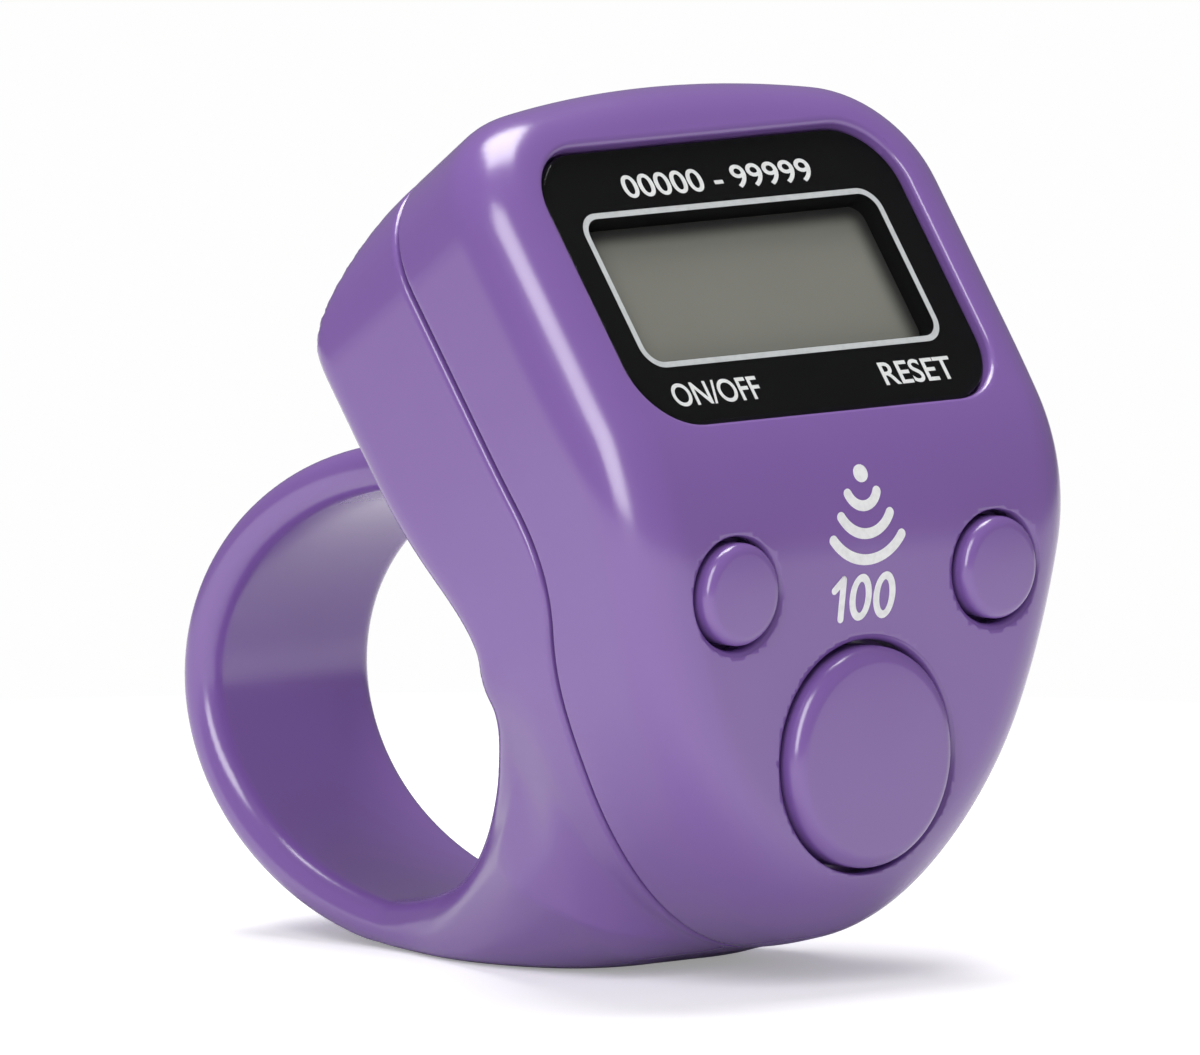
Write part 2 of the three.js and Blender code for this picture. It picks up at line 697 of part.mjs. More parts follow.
function lead(name, x, startX, startUp, startOut, colour) {
  const curve = new THREE.CatmullRomCurve3([
    new THREE.Vector3(startX, startUp, startOut),
    new THREE.Vector3(startX, startUp, startOut + leadRise),
    new THREE.Vector3(x, -leadUp - leadRadius, boardBack - leadRise),
    new THREE.Vector3(x, -leadUp, boardBack - leadRadius),
  ]);
  const options = { steps: 12, bevelEnabled: false, extrudePath: curve, curveSegments: 3 };
  add(keys, name, solid(new THREE.ExtrudeGeometry(leadShape, options)), colour, 0.5);
}
const onCeramic = ceramicAt + ceramicThick + leadRadius;
const discEdge = (ceramicRadius + buzzerRadius) / 2;
lead("buzzer_lead_red", leadRedX, ceramicRadius / 2, -buzzerDrop + leadRedX, onCeramic, 0xb03028);
lead("buzzer_lead_black", leadBlackX, discEdge, -buzzerDrop, buzzerAt + leadRadius, 0x1c1c1e);

add(counter, "rear_shell", rearShell, 0x8563a8, 0.35);

// Display, from the front: lens, printed film, adhesive frame, polariser, glass cell, reflector and holder
const windowHole = (width, height, corner) => roundedOutline(width, height, corner, THREE.Path);
add(display, "display_lens", solid(roundedPlate(lensWidth, lensHeight, lensCorner, -lensThick, 0)), 0xdfe3e2, 0.05);
const film = roundedOutline(lensWidth, lensHeight, lensCorner);
film.holes.push(windowHole(windowWidth, windowHeight, windowCorner));
add(display, "display_film", solid(plate(film, filmAt - filmThick, filmAt)), 0x0b0b0c, 0.4);
const tape = roundedOutline(lensWidth - 2 * tapeInset, lensHeight - 2 * tapeInset, lensCorner - tapeInset);
tape.holes.push(windowHole(windowWidth + 2 * tapeClear, windowHeight + 2 * tapeClear, windowCorner));
add(display, "lens_tape", solid(plate(tape, tapeAt - tapeThick, tapeAt)), 0xd8d6cf, 0.6);
const sheet = [cellWidth - 0.6, cellHeight - 0.6, 0.3];
add(display, "lcd_polariser", solid(roundedPlate(...sheet, polariserAt - sheetThick, polariserAt)), 0x82857a, 0.3);
const cellAll = [cellWidth, cellHeight + cellLedge, 0.2, cellAt - cellThick, cellAt, 0, -cellLedge / 2];
add(display, "lcd_cell", solid(roundedPlate(...cellAll)), 0x9a9c90, 0.1);
add(display, "lcd_reflector", solid(roundedPlate(...sheet, reflectorAt - sheetThick, reflectorAt)), 0xa3a496, 0.4);
const holder = roundedOutline(cellWidth, cellHeight - 1.2, 0.6);
holder.holes.push(windowHole(cellWidth - 2 * holderWall, cellHeight - 1.2 - 2 * holderWall, 0.3));
add(display, "lcd_holder", solid(plate(holder, holderAt - holderThick, holderAt)), 0xe8e8e4, 0.5);
const cellBack = cellAt - cellThick - faceGap - ribbonThick / 2;
const cellFoot = -cellHeight / 2 - cellLedge;
const ribbon = [
  [cellFoot + 0.7, cellBack],
  [cellFoot - 0.4, cellBack - 0.1],
  [boardPoint(boardTop, 0)[0] + 0.5, boardPoint(boardTop, 0)[1] + 0.1],
  boardPoint(boardTop - 0.3, faceGap + ribbonThick / 2),
  boardPoint(boardTop - 1.4, faceGap + ribbonThick / 2),
];
add(display, "lcd_ribbon", solid(strip(ribbon, ribbonThick, ribbonWidth, 2)), 0x2e2f33, 0.5);

// Circuit board, with the toe's outline drawn in, and the parts soldered to its back
const boardSide = casingOutline
  .filter(({ s }) => s + bendHeight < boardTop - 1)
  .map(({ x, s, out }) => {
    const inset = wall + boardInset;
    return new THREE.Vector2(Math.max(x - inset * out.x, 0), s + bendHeight - inset * out.y);
  });
boardSide.push(new THREE.Vector2(boardSide.at(-1).x, boardTop));
const boardOutline = new THREE.Shape([
  ...boardSide,
  ...boardSide.slice(1).reverse().map(({ x, y }) => new THREE.Vector2(-x, y)),
]);
const boardHole = (radius, x, y) => boardOutline.holes.push(new THREE.Path().absarc(x, y, radius, 0, 2 * Math.PI));
boardHole(pegRadius + screwClearance, 0, pegHeight);
for (const side of mirrored) boardHole(screwRadius + screwClearance, side * boardBossX, -boardBossDrop);
add(keys, "circuit_board", solid(plate(boardOutline, boardBack, boardFront)), 0x2d6b3c, 0.5);
const blob = [0, 30, 60, 90].map((angle) => [
  blobRadius * Math.cos(degrees(angle)),
  boardBack - faceGap - blobHeight * Math.sin(degrees(angle)),
]);
blob.at(-1)[0] = 0;
add(keys, "chip_blob", solid(turned([[0, boardBack - faceGap], ...blob], -3.6, -1.8, 20)), 0x121214, 0.4);
function chip(name, width, height, thick, x, y, colour) {
  const back = boardBack - faceGap;
  add(keys, name, solid(roundedPlate(width, height, 0.1, back - thick, back, x, y)), colour, 0.5);
}
chip("smd_capacitor", 1.6, 0.8, 0.8, 5.6, -0.6, 0xb59a78);
chip("smd_resistor", 1.6, 0.8, 0.5, 5.6, -2.2, 0x1d1d20);

// Screws, each with its head behind what it holds
function screw(group, name, seat, length, x, y) {
  const back = seat - faceGap;
  const profile = [
    [0, back - screwHeadThick],
    [screwHead * 0.8, back - screwHeadThick],
    [screwHead, back - screwHeadThick * 0.5],
    [screwHead, back],
    [screwRadius, back],
    [screwRadius, back + length - screwRadius],
    [screwRadius * 0.5, back + length],
    [0, back + length],
  ];
  const drive = screwHead * 1.1;
  const slot = screwHead * 0.28;
  const bar = (width, height) =>
    solid(new THREE.BoxGeometry(width, height, screwHeadThick).translate(x, y, back - screwHeadThick));
  const cross = bar(drive, slot).add(bar(slot, drive));
  add(group, name, solid(turned(profile, x, y, 14)).subtract(cross), 0xa9adb1, 0.3, 1);
}
const sides = { left: -1, right: 1 };
for (const [name, side] of Object.entries(sides)) {
  screw(display, "shell_screw_" + name, wellSeat, shellScrewLength, side * shellScrewX, shellScrewUp);
  screw(keys, "board_screw_" + name, boardBack, boardScrewLength, side * boardBossX, -boardBossDrop);
}

// Battery and its door
const cellCase = [
  [0, batteryBack],
  [batteryRadius, batteryBack],
  [batteryRadius, batteryFront - 0.5],
  [batteryRadius - 0.6, batteryFront - 0.3],
  [batteryRadius - 0.6, batteryFront],
  [0, batteryFront],
];
add(display, "battery_cell", solid(turned(cellCase, ...batteryPlace)), 0xc4c7ca, 0.25, 1);
let door = solid(roundedPlate(doorWidth, doorHeight, doorCorner, headBack, headBack + doorThick, 0, batteryUp));
const doorSink = headBack + screwHeadThick * 0.6;
door = door
  .subtract(solid(rod(screwRadius + screwClearance, headBack - wall, doorInside + wall, ...doorScrewPlace, 12)))
  .subtract(solid(rod(wellRadius, headBack - wall, doorSink, ...doorScrewPlace, 20)));
add(display, "battery_door", door, 0x8563a8, 0.35);
screw(display, "door_screw", doorSink, doorScrewLength, ...doorScrewPlace);

// The origin is on the ground, under the middle of the whole counter
const bounds = new THREE.Box3().setFromObject(counter);
counter.position.set(0, -(bounds.min.y + bounds.max.y) / 2, -bounds.min.z);

export default counter;
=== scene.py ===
import math

import bmesh
import bpy
import numpy as np
import openvdb
from mathutils import Matrix, Vector


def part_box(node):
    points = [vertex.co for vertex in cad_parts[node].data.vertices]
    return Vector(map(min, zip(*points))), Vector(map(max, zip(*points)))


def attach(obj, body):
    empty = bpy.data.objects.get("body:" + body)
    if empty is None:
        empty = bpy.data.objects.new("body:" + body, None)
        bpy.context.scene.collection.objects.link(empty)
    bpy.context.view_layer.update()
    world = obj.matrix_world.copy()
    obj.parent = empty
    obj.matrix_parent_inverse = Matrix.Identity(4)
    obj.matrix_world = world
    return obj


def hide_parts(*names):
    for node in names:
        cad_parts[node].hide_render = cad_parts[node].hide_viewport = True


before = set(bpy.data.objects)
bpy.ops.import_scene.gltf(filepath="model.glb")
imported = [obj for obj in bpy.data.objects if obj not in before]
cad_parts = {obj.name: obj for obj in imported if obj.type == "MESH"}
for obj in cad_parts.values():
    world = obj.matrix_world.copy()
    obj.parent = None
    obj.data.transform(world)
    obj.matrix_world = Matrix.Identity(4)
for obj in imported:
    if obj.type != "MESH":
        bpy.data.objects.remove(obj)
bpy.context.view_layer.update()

# THE FRONT SHELL is the face of the casing: a thin cap of satin purple plastic, injection-moulded, with the
# display's pocket and the round holes of the keys. It closes on the rear shell 7 mm behind the face.
# Sizes are in millimetres from the point midway between the two small keys, as distances along the face
# and behind it; the face leans back above that point.
front_y = -0.4
bend_height = 0.99
bend_radius = 12.0
display_lean = math.radians(36)
face_top = 26.3
face_bottom = 17.4
half_width = 15.0
parting_depth = 7.2
seam_gap = 0.2
toe_flare = 0.6  # how far the toe's sides swell outwards behind the face
sole_height = -19.1
key_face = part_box("count_button")[0][1] * 1000 + 0.8  # the keys' face, a cap's height behind the count key
casing_shift = np.array([0.0, key_face - front_y, -sole_height])


def eased(value, low, high):
    share = np.clip((value - low) / (high - low), 0, 1)
    return share * share * (3 - 2 * share)


def between(low, high, share):
    return low + (high - low) * share


def face_line(along):
    """The front face in the side view: how far back and how high it is."""
    lean = np.clip(along / bend_radius, 0, display_lean)
    straight = along - lean * bend_radius
    back = front_y + bend_radius * (1 - np.cos(lean)) + straight * np.sin(lean)
    return back, bend_height + bend_radius * np.sin(lean) + straight * np.cos(lean)


def depth_turn(along):
    """How far the direction of depth dips behind the face at this place along it."""
    droop = math.radians(5.5) * (1 - eased(along, -face_bottom, -9))
    return display_lean * eased(along, -10, 7) + droop


def casing_depth(along):
    """How deep the casing is behind the face: least under the keys, more in the head and down to the heel."""
    below = np.maximum(-5.5 - along, 0) / (face_bottom - 5.5)
    return between(12.9, 15, eased(along, -3, 13.5)) + 10 * below**1.8


def on_face(across, along, depth=0.0):
    """A point of the casing, from its distances across and along the face and behind it."""
    back, up = face_line(along)
    turn = depth_turn(along)
    return np.stack(np.broadcast_arrays(across, back + depth * np.cos(turn), up - depth * np.sin(turn)), -1)


def along_and_depth(back, up):
    """How far along the face and how deep behind it a point of the side view lies."""
    low = np.full(np.shape(back), -face_bottom - 14.0)
    high = np.full(np.shape(back), face_top + 12.0)
    for _ in range(24):
        along = (low + high) / 2
        face_back, face_up = face_line(along)
        turn = depth_turn(along)
        above = (back - face_back) * np.sin(turn) + (up - face_up) * np.cos(turn) > 0
        low = np.where(above, along, low)
        high = np.where(above, high, along)
    return along, (back - face_back) * np.cos(turn) - (up - face_up) * np.sin(turn)


def distance_table(loop, low, high, step=0.15):
    """Looks up the distance of a point from a closed line in a plane, less than zero inside it."""
    first = np.arange(low[0], high[0] + step, step)
    second = np.arange(low[1], high[1] + step, step)
    u, v = np.meshgrid(first, second, indexing="ij")
    nearest = np.full(u.shape, np.inf)
    inside = np.zeros(u.shape, bool)
    for (au, av), (bu, bv) in zip(loop, np.roll(loop, -1, axis=0)):
        eu, ev = bu - au, bv - av
        share = np.clip(((u - au) * eu + (v - av) * ev) / (eu * eu + ev * ev + 1e-12), 0, 1)
        nearest = np.minimum(nearest, np.hypot(u - au - share * eu, v - av - share * ev))
        if bv != av:
            inside ^= ((av > v) != (bv > v)) & (u < eu * (v - av) / ev + au)
    table = np.where(inside, -nearest, nearest)

    def look_up(a, b):
        i = np.clip((a - low[0]) / step, 0, len(first) - 1.001)
        j = np.clip((b - low[1]) / step, 0, len(second) - 1.001)
        row, column = i.astype(int), j.astype(int)
        i, j = i - row, j - column
        near = table[row, column] * (1 - j) + table[row, column + 1] * j
        far = table[row + 1, column] * (1 - j) + table[row + 1, column + 1] * j
        return near * (1 - i) + far * i

    return look_up


def casing_outline():
    """The casing seen from the front: an elliptical toe, straight sides, rounded corners and a flat crown."""
    widest, corner, crown = 11.5, 6.4, 60.0
    height = face_bottom + widest
    corner_x = half_width - corner
    crown_at = face_top - crown
    corner_at = crown_at + math.sqrt((crown - corner) ** 2 - corner_x**2)
    junction = math.atan2(corner_at - crown_at, corner_x)
    toe = (math.pi / 2) * (1 - np.linspace(0, 1, 60, endpoint=False)) ** 1.3
    angles = np.linspace(0, junction, 16)
    rise = np.linspace(junction, math.pi / 2, 14)[1:]
    across = [half_width * np.cos(toe), corner_x + corner * np.cos(angles), crown * np.cos(rise)]
    along = [widest - height * np.sin(toe) ** (2 / 2.3), corner_at + corner * np.sin(angles),
             crown_at + crown * np.sin(rise)]
    right = np.stack([np.concatenate(across), np.concatenate(along)], 1)
    left = right[1:-1][::-1] * [-1, 1]
    return np.concatenate([right, left])


def rounded(first, second, first_radius, second_radius):
    """Where two forms overlap, with the edge between them rounded over these distances."""
    u = np.maximum(first + first_radius, 0) / first_radius
    v = np.maximum(second + second_radius, 0) / second_radius
    reach = np.hypot(u, v)
    curved = (reach - 1) * reach / np.maximum(np.hypot(u / first_radius, v / second_radius), 1e-9)
    return np.where((u > 0) & (v > 0), curved, np.maximum(first, second))


def blended(first, second, width):
    """Two forms joined, with the corner between them filled over this width."""
    share = np.maximum(width - np.abs(first - second), 0) / width
    return np.minimum(first, second) - share * share * width / 4


# The ring and its heel in the side view: an oval band that widens forwards into the toe's underside
ring_middle = np.array([23.7, -7.2])
ring_opening = np.array([14.6, 9.9])
ring_wall = 2.2
ring_half = 5.4
heel_half = 10.2
heel_start, heel_sweep = math.radians(-78), math.radians(80)


def ring_oval(angle, grow=0.0):
    return ring_middle + (ring_opening + grow) * np.stack([np.cos(angle), np.sin(angle)], -1)


ring_turns = np.linspace(math.radians(128), heel_start, 90)
heel_steps = np.linspace(0, 1, 30)[1:]
heel_rise = np.stack([np.zeros(29), 5.6 * heel_steps**1.1], -1)
heel_top = ring_oval(heel_start - heel_sweep * heel_steps) + heel_rise
sole_points = np.array([ring_oval(np.array(heel_start), ring_wall), [20.5, -20.3], [12.6, -20.2], [8.4, -17.0]])
sole_shares = np.stack([(1 - heel_steps) ** 3, 3 * heel_steps * (1 - heel_steps) ** 2,
                        3 * heel_steps**2 * (1 - heel_steps), heel_steps**3], 1)
ring_outside = np.concatenate([ring_oval(ring_turns, ring_wall), sole_shares @ sole_points, [[9.2, -12], [9.2, 0]]])
ring_inside = np.concatenate([ring_oval(ring_turns), heel_top])
outline_at = distance_table(casing_outline(), (-0.5, -30), (17.5, 33))
outside_at = distance_table(ring_outside, (-2, -21.5), (42.5, 24))
inside_at = distance_table(ring_inside, (-2, -21.5), (42.5, 24))


def casing_form(across, back, up):
    """The whole casing's form, less than zero inside, and the depth behind the face."""
    across = np.abs(across)
    along, depth = along_and_depth(back, up)
    side = outline_at(across, along)
    slope = casing_depth(along - 0.5) - casing_depth(along + 0.5)
    rear = (depth - casing_depth(along)) / np.hypot(1, slope)
    upward = (outline_at(across, along + 0.2) - side) / 0.2
    swell = eased(upward, 0.2, 1.1)
    side = side - toe_flare * eased(depth, 1, 7) * (1 - eased(depth, 9, 13)) * eased(-along, 0, 12)
    front = between(3.0, 3.9, eased(-along, 8, 17))
    slab = rounded(side, -depth, front, front)
    slab = np.maximum(slab, rounded(side, rear, between(1.3, 4.8, swell), between(1.3, 8.0, swell)))
    outer, inner = outside_at(back, up), -inside_at(back, up)
    turn = np.arctan2((up - ring_middle[1]) / (ring_opening[1] + 1), (back - ring_middle[0]) / (ring_opening[0] + 1))
    sweep = np.clip((heel_start - np.where(turn > 2.6, turn - 2 * math.pi, turn)) / heel_sweep, 0, 1.2)
    half = between(ring_half, heel_half, eased(sweep, -0.1, 1))
    round_off = eased(sweep, 0, 0.8)
    cheek = across - half
    through = between(1.1, 6.0, round_off)
    band = rounded(cheek, outer, between(1.1, half - 0.4, round_off), through)
    lip = between(1.1, 2.2, round_off)
    band = np.maximum(band, rounded(cheek, inner, lip, lip))
    filled = eased(-inner, 0, 4) * (1 - eased(up, -13, 0)) * eased(across, 1, 7) * eased(depth, 7.5, 11)
    whole = blended(slab, band, between(1.6, 5, filled))
    return rounded(whole, sole_height - up, 0.5, 0.5), depth


def to_place(points):
    """Millimetres from the working point, as metres in the frame."""
    return (np.asarray(points, float) + casing_shift) / 1000


def drawn_home(points, form, reach, rounds):
    """Points moved onto the surface on which form is zero."""
    for _ in range(rounds):
        here = form(*points.T)
        grade = np.stack([form(*(points + nudge).T) - here for nudge in 0.01 * np.eye(3)], 1) / 0.01
        move = here[:, None] * grade / np.maximum((grade**2).sum(1), 0.05)[:, None]
        points = points - np.clip(move, -reach, reach)
    return points


def finer_seam(mesh, form, parting):
    """The mesh with smaller faces along the line where the shells part, laid on the form again."""
    edit = bmesh.new()
    edit.from_mesh(mesh)
    for reach in (0.5, 0.32):
        points = np.array([v.co for v in edit.verts]) * 1000 - casing_shift
        close = np.abs(along_and_depth(points[:, 1], points[:, 2])[1] - parting) < reach
        edit.verts.index_update()
        edit.verts.ensure_lookup_table()
        edges = [e for e in edit.edges if close[e.verts[0].index] and close[e.verts[1].index]]
        bmesh.ops.subdivide_edges(edit, edges=edges, cuts=1, use_grid_fill=True)
        edit.verts.index_update()
        points = np.array([v.co for v in edit.verts]) * 1000 - casing_shift
        close = np.abs(along_and_depth(points[:, 1], points[:, 2])[1] - parting) < reach + 0.3
        moved = to_place(drawn_home(points[close], form, 0.08, 3))
        edit.verts.ensure_lookup_table()
        for vertex, place in zip([v for v, near in zip(edit.verts, close) if near], moved.tolist()):
            vertex.co = place
    edit.to_mesh(mesh)
    edit.free()
    return mesh


def surface_mesh(name, form, step, steps_home=2):
    """A closed mesh of the surface on which form is zero."""
    low, high = np.array([-15.6, -1.6, -20.0]), np.array([15.6, 41.4, 23.0])
    counts = np.round((high - low) / step).astype(int) + 1
    across, back, up = (low[i] + step * np.arange(counts[i]) for i in range(3))
    values = form(across[:, None, None], back[None, :, None], up[None, None, :])
    volume = openvdb.FloatGrid(10.0)
    volume.copyFromArray(np.ascontiguousarray(np.broadcast_to(values, counts), dtype=np.float32))
    points, quads = volume.convertToQuads(0.0)
    points = low + step * np.asarray(points, float)
    points = drawn_home(points, form, 0.4 * step, steps_home)
    mesh = bpy.data.meshes.new(name)
    mesh.from_pydata(to_place(points).tolist(), [], np.asarray(quads).tolist())
    return mesh


def cut_mesh(mesh, other, operation="DIFFERENCE"):
    """A new mesh: the first one with the other taken away, added, or kept in common."""
    piece = bpy.data.objects.new("piece", mesh)
    tool = bpy.data.objects.new("tool", other)
    for item in (piece, tool):
        bpy.context.scene.collection.objects.link(item)
    step = piece.modifiers.new("cut", "BOOLEAN")
    step.object, step.operation, step.solver = tool, operation, "MANIFOLD"
    made = bpy.data.meshes.new_from_object(piece.evaluated_get(bpy.context.evaluated_depsgraph_get()))
    for item in (piece, tool):
        bpy.data.objects.remove(item)
    return made


def node_solid(node):
    """A CAD node's mesh as one closed copy."""
    form = bmesh.new()
    form.from_mesh(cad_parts[node].data)
    bmesh.ops.remove_doubles(form, verts=form.verts, dist=1e-6)
    mesh = bpy.data.meshes.new("copy")
    form.to_mesh(mesh)
    form.free()
    return mesh


def finished(name, mesh, material, body="casing", smooth_below=32):
    """A finished piece: smooth where its faces meet at less than this angle, on its body, in its material."""
    mesh.polygons.foreach_set("use_smooth", [True] * len(mesh.polygons))
    mesh.set_sharp_from_angle(angle=math.radians(smooth_below))
    mesh.materials.clear()
    mesh.materials.append(material)
    piece = bpy.data.objects.new(name, mesh)
    bpy.context.scene.collection.objects.link(piece)
    leaning = piece.modifiers.new("even_shading", "WEIGHTED_NORMAL")
    leaning.keep_sharp = True
    piece.data = bpy.data.meshes.new_from_object(piece.evaluated_get(bpy.context.evaluated_depsgraph_get()))
    piece.modifiers.remove(leaning)
    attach(piece, body)
    return piece


def lathe_mesh(name, profile, frame_to, x=0.0, y=0.0, sides=96):
    """A turned solid from (radius, outward) points, stood on a working frame of the casing."""
    form = bmesh.new()
    rings = []
    for radius, out in profile:
        if radius == 0:
            rings.append([form.verts.new(frame_to(x, y, out))])
            continue
        turns = [2 * math.pi * i / sides for i in range(sides)]
        circle = [(x + radius * math.cos(t), y + radius * math.sin(t)) for t in turns]
        rings.append([form.verts.new(frame_to(u, v, out)) for u, v in circle])
    for near, far in zip(rings, rings[1:]):
        for i in range(sides):
            j = (i + 1) % sides
            if len(near) == 1:
                form.faces.new((near[0], far[j], far[i]))
            elif len(far) == 1:
                form.faces.new((near[i], near[j], far[0]))
            else:
                form.faces.new((near[i], near[j], far[j], far[i]))
    bmesh.ops.recalc_face_normals(form, faces=form.faces)
    mesh = bpy.data.meshes.new(name)
    form.to_mesh(mesh)
    form.free()
    return mesh


def on_keys(x, y, out):
    """The keys' working frame: across, up and outward from the upright face."""
    return Vector(to_place((x, front_y - out, y)))


display_middle = on_face(0.0, 14.84, 0.45)


def on_display(x, y, out):
    """The display's working frame: across, up and outward from the lens's front."""
    lean = display_lean
    back = y * math.sin(lean) - out * math.cos(lean)
    up = y * math.cos(lean) + out * math.sin(lean)
    return Vector(to_place(display_middle + np.array([x, back, up])))


def rounded_outline(width, height, corner, steps=12):
    """The outline of a rectangle with round corners, about its middle."""
    points = []
    for quarter, (sx, sy) in enumerate(((1, 1), (-1, 1), (-1, -1), (1, -1))):
        for i in range(steps + 1):
            turn = math.pi / 2 * (quarter + i / steps)
            points.append((sx * (width / 2 - corner) + corner * math.cos(turn),
                           sy * (height / 2 - corner) + corner * math.sin(turn)))
    return points


def let_in(size, inset):
    """The outline of a (width, height, corner) rectangle, made smaller by this much all round."""
    width, height, corner = size
    return rounded_outline(width - 2 * inset, height - 2 * inset, corner - inset)


def lofted_mesh(name, levels, frame_to, x=0.0, y=0.0):
    """A closed plate through outlines of equal count, each given with its outward distance."""
    form = bmesh.new()
    loops = [[form.verts.new(frame_to(x + u, y + v, out)) for u, v in outline] for outline, out in levels]
    for near, far in zip(loops, loops[1:]):
        for i in range(len(near)):
            j = (i + 1) % len(near)
            form.faces.new((near[i], near[j], far[j], far[i]))
    form.faces.new(loops[0][::-1])
    form.faces.new(loops[-1])
    bmesh.ops.recalc_face_normals(form, faces=form.faces)
    mesh = bpy.data.meshes.new(name)
    form.to_mesh(mesh)
    form.free()
    return mesh


def node_material(name):
    """A new material, and a helper that adds one of its nodes with the given values and joins."""
    material = bpy.data.materials.new(name)
    material.use_nodes = True
    tree = material.node_tree
    tree.nodes.clear()

    def put(kind, inputs=None, **settings):
        node = tree.nodes.new(kind)
        for key, value in settings.items():
            setattr(node, key, value)
        for key, value in (inputs or {}).items():
            if isinstance(value, bpy.types.NodeSocket):
                tree.links.new(value, node.inputs[key])
            else:
                node.inputs[key].default_value = value
        return node

    return material, put


def moulded_plastic(name, colour, rough, grain=1.0, mottle=0.05, level=0.5):
    """Moulded plastic: faint flow mottling, a fine eroded grain and finger smears in its gloss."""
    material, put = node_material(name)
    place = put("ShaderNodeTexCoord").outputs["Object"]
    flow = put("ShaderNodeTexNoise", {"Vector": place, "Scale": 70, "Detail": 3, "Roughness": 0.55})
    fine = put("ShaderNodeTexNoise", {"Vector": place, "Scale": 5200, "Detail": 2, "Roughness": 0.6})
    smear = put("ShaderNodeTexNoise", {"Vector": place, "Scale": 260, "Detail": 5, "Roughness": 0.7})
    light = tuple(min(c * (1 + mottle), 1) for c in colour)
    dark = tuple(c * (1 - mottle) for c in colour)
    tint = put("ShaderNodeMix", {0: flow.outputs["Fac"], 6: (*dark, 1), 7: (*light, 1)}, data_type="RGBA")
    gloss = put("ShaderNodeMapRange", {0: smear.outputs["Fac"], 1: 0.3, 2: 0.7, 3: rough - 0.03, 4: rough + 0.03})
    bump = put("ShaderNodeBump", {"Strength": 0.05 * grain, "Distance": 0.00002, "Height": fine.outputs["Fac"]})
    soft = put("ShaderNodeBump", {"Strength": 0.03, "Distance": 0.0003, "Height": flow.outputs["Fac"],
                                  "Normal": bump.outputs[0]})
    shader = put("ShaderNodeBsdfPrincipled", {"Base Color": tint.outputs[2], "Roughness": gloss.outputs[0],
                                              "Normal": soft.outputs[0], "Specular IOR Level": level})
    put("ShaderNodeOutputMaterial", {"Surface": shader.outputs[0]})
    return material


purple = (0.192, 0.098, 0.342)
shell_plastic = moulded_plastic("shell_plastic", purple, 0.22, level=0.85)
front_parting = parting_depth - seam_gap / 2
rear_parting = parting_depth + seam_gap / 2
seam_round = 0.25
skin = 1.2
grid_step = 0.25


def front_form(across, back, up):
    """The casing's form in front of the parting, with the seam's edge rounded."""
    whole, depth = casing_form(across, back, up)
    return rounded(whole, depth - front_parting, seam_round, seam_round)


def inner_form(across, back, up):
    """The casing's form, smaller all round by the skin that its inside keeps."""
    return casing_form(across, back, up)[0] + skin


inner_hull = surface_mesh("inner_hull", inner_form, 0.5, 0)
front_mesh = finer_seam(surface_mesh("front_shell_skin", front_form, grid_step), front_form, front_parting)
front_mesh = cut_mesh(front_mesh, cut_mesh(inner_hull, node_solid("front_shell")))


def key_hole(radius, x, y):
    """The tool for a key's hole, which flares where it meets the face."""
    edge, behind, before = 0.4, -2.2, 1
    flare = [(radius + edge * (1 - math.cos(t)), edge * (math.sin(t) - 1)) for t in np.linspace(0, 1.22, 7)]
    profile = [(0, behind), (radius, behind), *flare, (radius + 0.9, before), (0, before)]
    return lathe_mesh("hole", profile, on_keys, x, y, 128)


small_hole, count_hole = 2.65, 5.45
small_x, count_y = 8.36, -8.22
for radius, x, y in ((small_hole, -small_x, 0), (small_hole, small_x, 0), (count_hole, 0, count_y)):
    front_mesh = cut_mesh(front_mesh, key_hole(radius, x, y))
pocket = (23.2, 15.1, 3.35)
pocket_floor, pocket_edge, pocket_round = -1.57, 0.15, 0.3
pocket_levels = [(rounded_outline(*pocket), pocket_floor), (rounded_outline(*pocket), pocket_edge)]
for turn in np.linspace(0, math.pi / 2, 6)[1:]:
    spread = pocket_round * (1 - math.cos(turn))
    pocket_levels.append((let_in(pocket, -spread), pocket_edge + pocket_round * math.sin(turn)))
pocket_levels.append((pocket_levels[-1][0], 1.4))
front_mesh = cut_mesh(front_mesh, lofted_mesh("pocket", pocket_levels, on_display))
front_shell = finished("front_shell_skin", front_mesh, shell_plastic)
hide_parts("front_shell")

# THE REAR SHELL carries the finger ring in one moulding with it. Its sides run down into the heel and round
# into the ring without an edge; the back has the battery's hole and two deep wells for the casing screws.


def rear_form(across, back, up):
    """The casing's form behind the parting, with the seam's edge rounded."""
    whole, depth = casing_form(across, back, up)
    return rounded(whole, rear_parting - depth, seam_round, seam_round)


rear_mesh = finer_seam(surface_mesh("rear_shell_skin", rear_form, grid_step), rear_form, rear_parting)
rear_mesh = cut_mesh(rear_mesh, cut_mesh(inner_hull, node_solid("rear_shell")))
back_face = -14.55
well_radius, well_x, well_y = 1.42, 10.0, 7.0
well_floor, mouth_round = -8.85, 0.25
for x in (-well_x, well_x):
    mouth = [(well_radius + mouth_round * (1 - math.cos(t)), back_face - mouth_round * (math.sin(t) - 1))
             for t in np.linspace(math.pi / 2, 0, 6)]
    well = [(0, back_face - 2), (well_radius + mouth_round, back_face - 2), *mouth, (well_radius, well_floor),
            (0, well_floor)]
    rear_mesh = cut_mesh(rear_mesh, lathe_mesh("well", well, on_display, x, well_y, 64))
door_size, door_y = (14.2, 9.2, 1.6), 3.1
hole_size = (door_size[0] + 0.3, door_size[1] + 0.3, door_size[2] + 0.15)
hole_levels = [(let_in(hole_size, -0.2), back_face - 1), (let_in(hole_size, -0.2), back_face),
               (let_in(hole_size, -0.06), back_face + 0.08), (rounded_outline(*hole_size), back_face + 0.25),
               (rounded_outline(*hole_size), back_face + 1.1)]
rear_mesh = cut_mesh(rear_mesh, lofted_mesh("door_hole", hole_levels, on_display, 0, door_y))
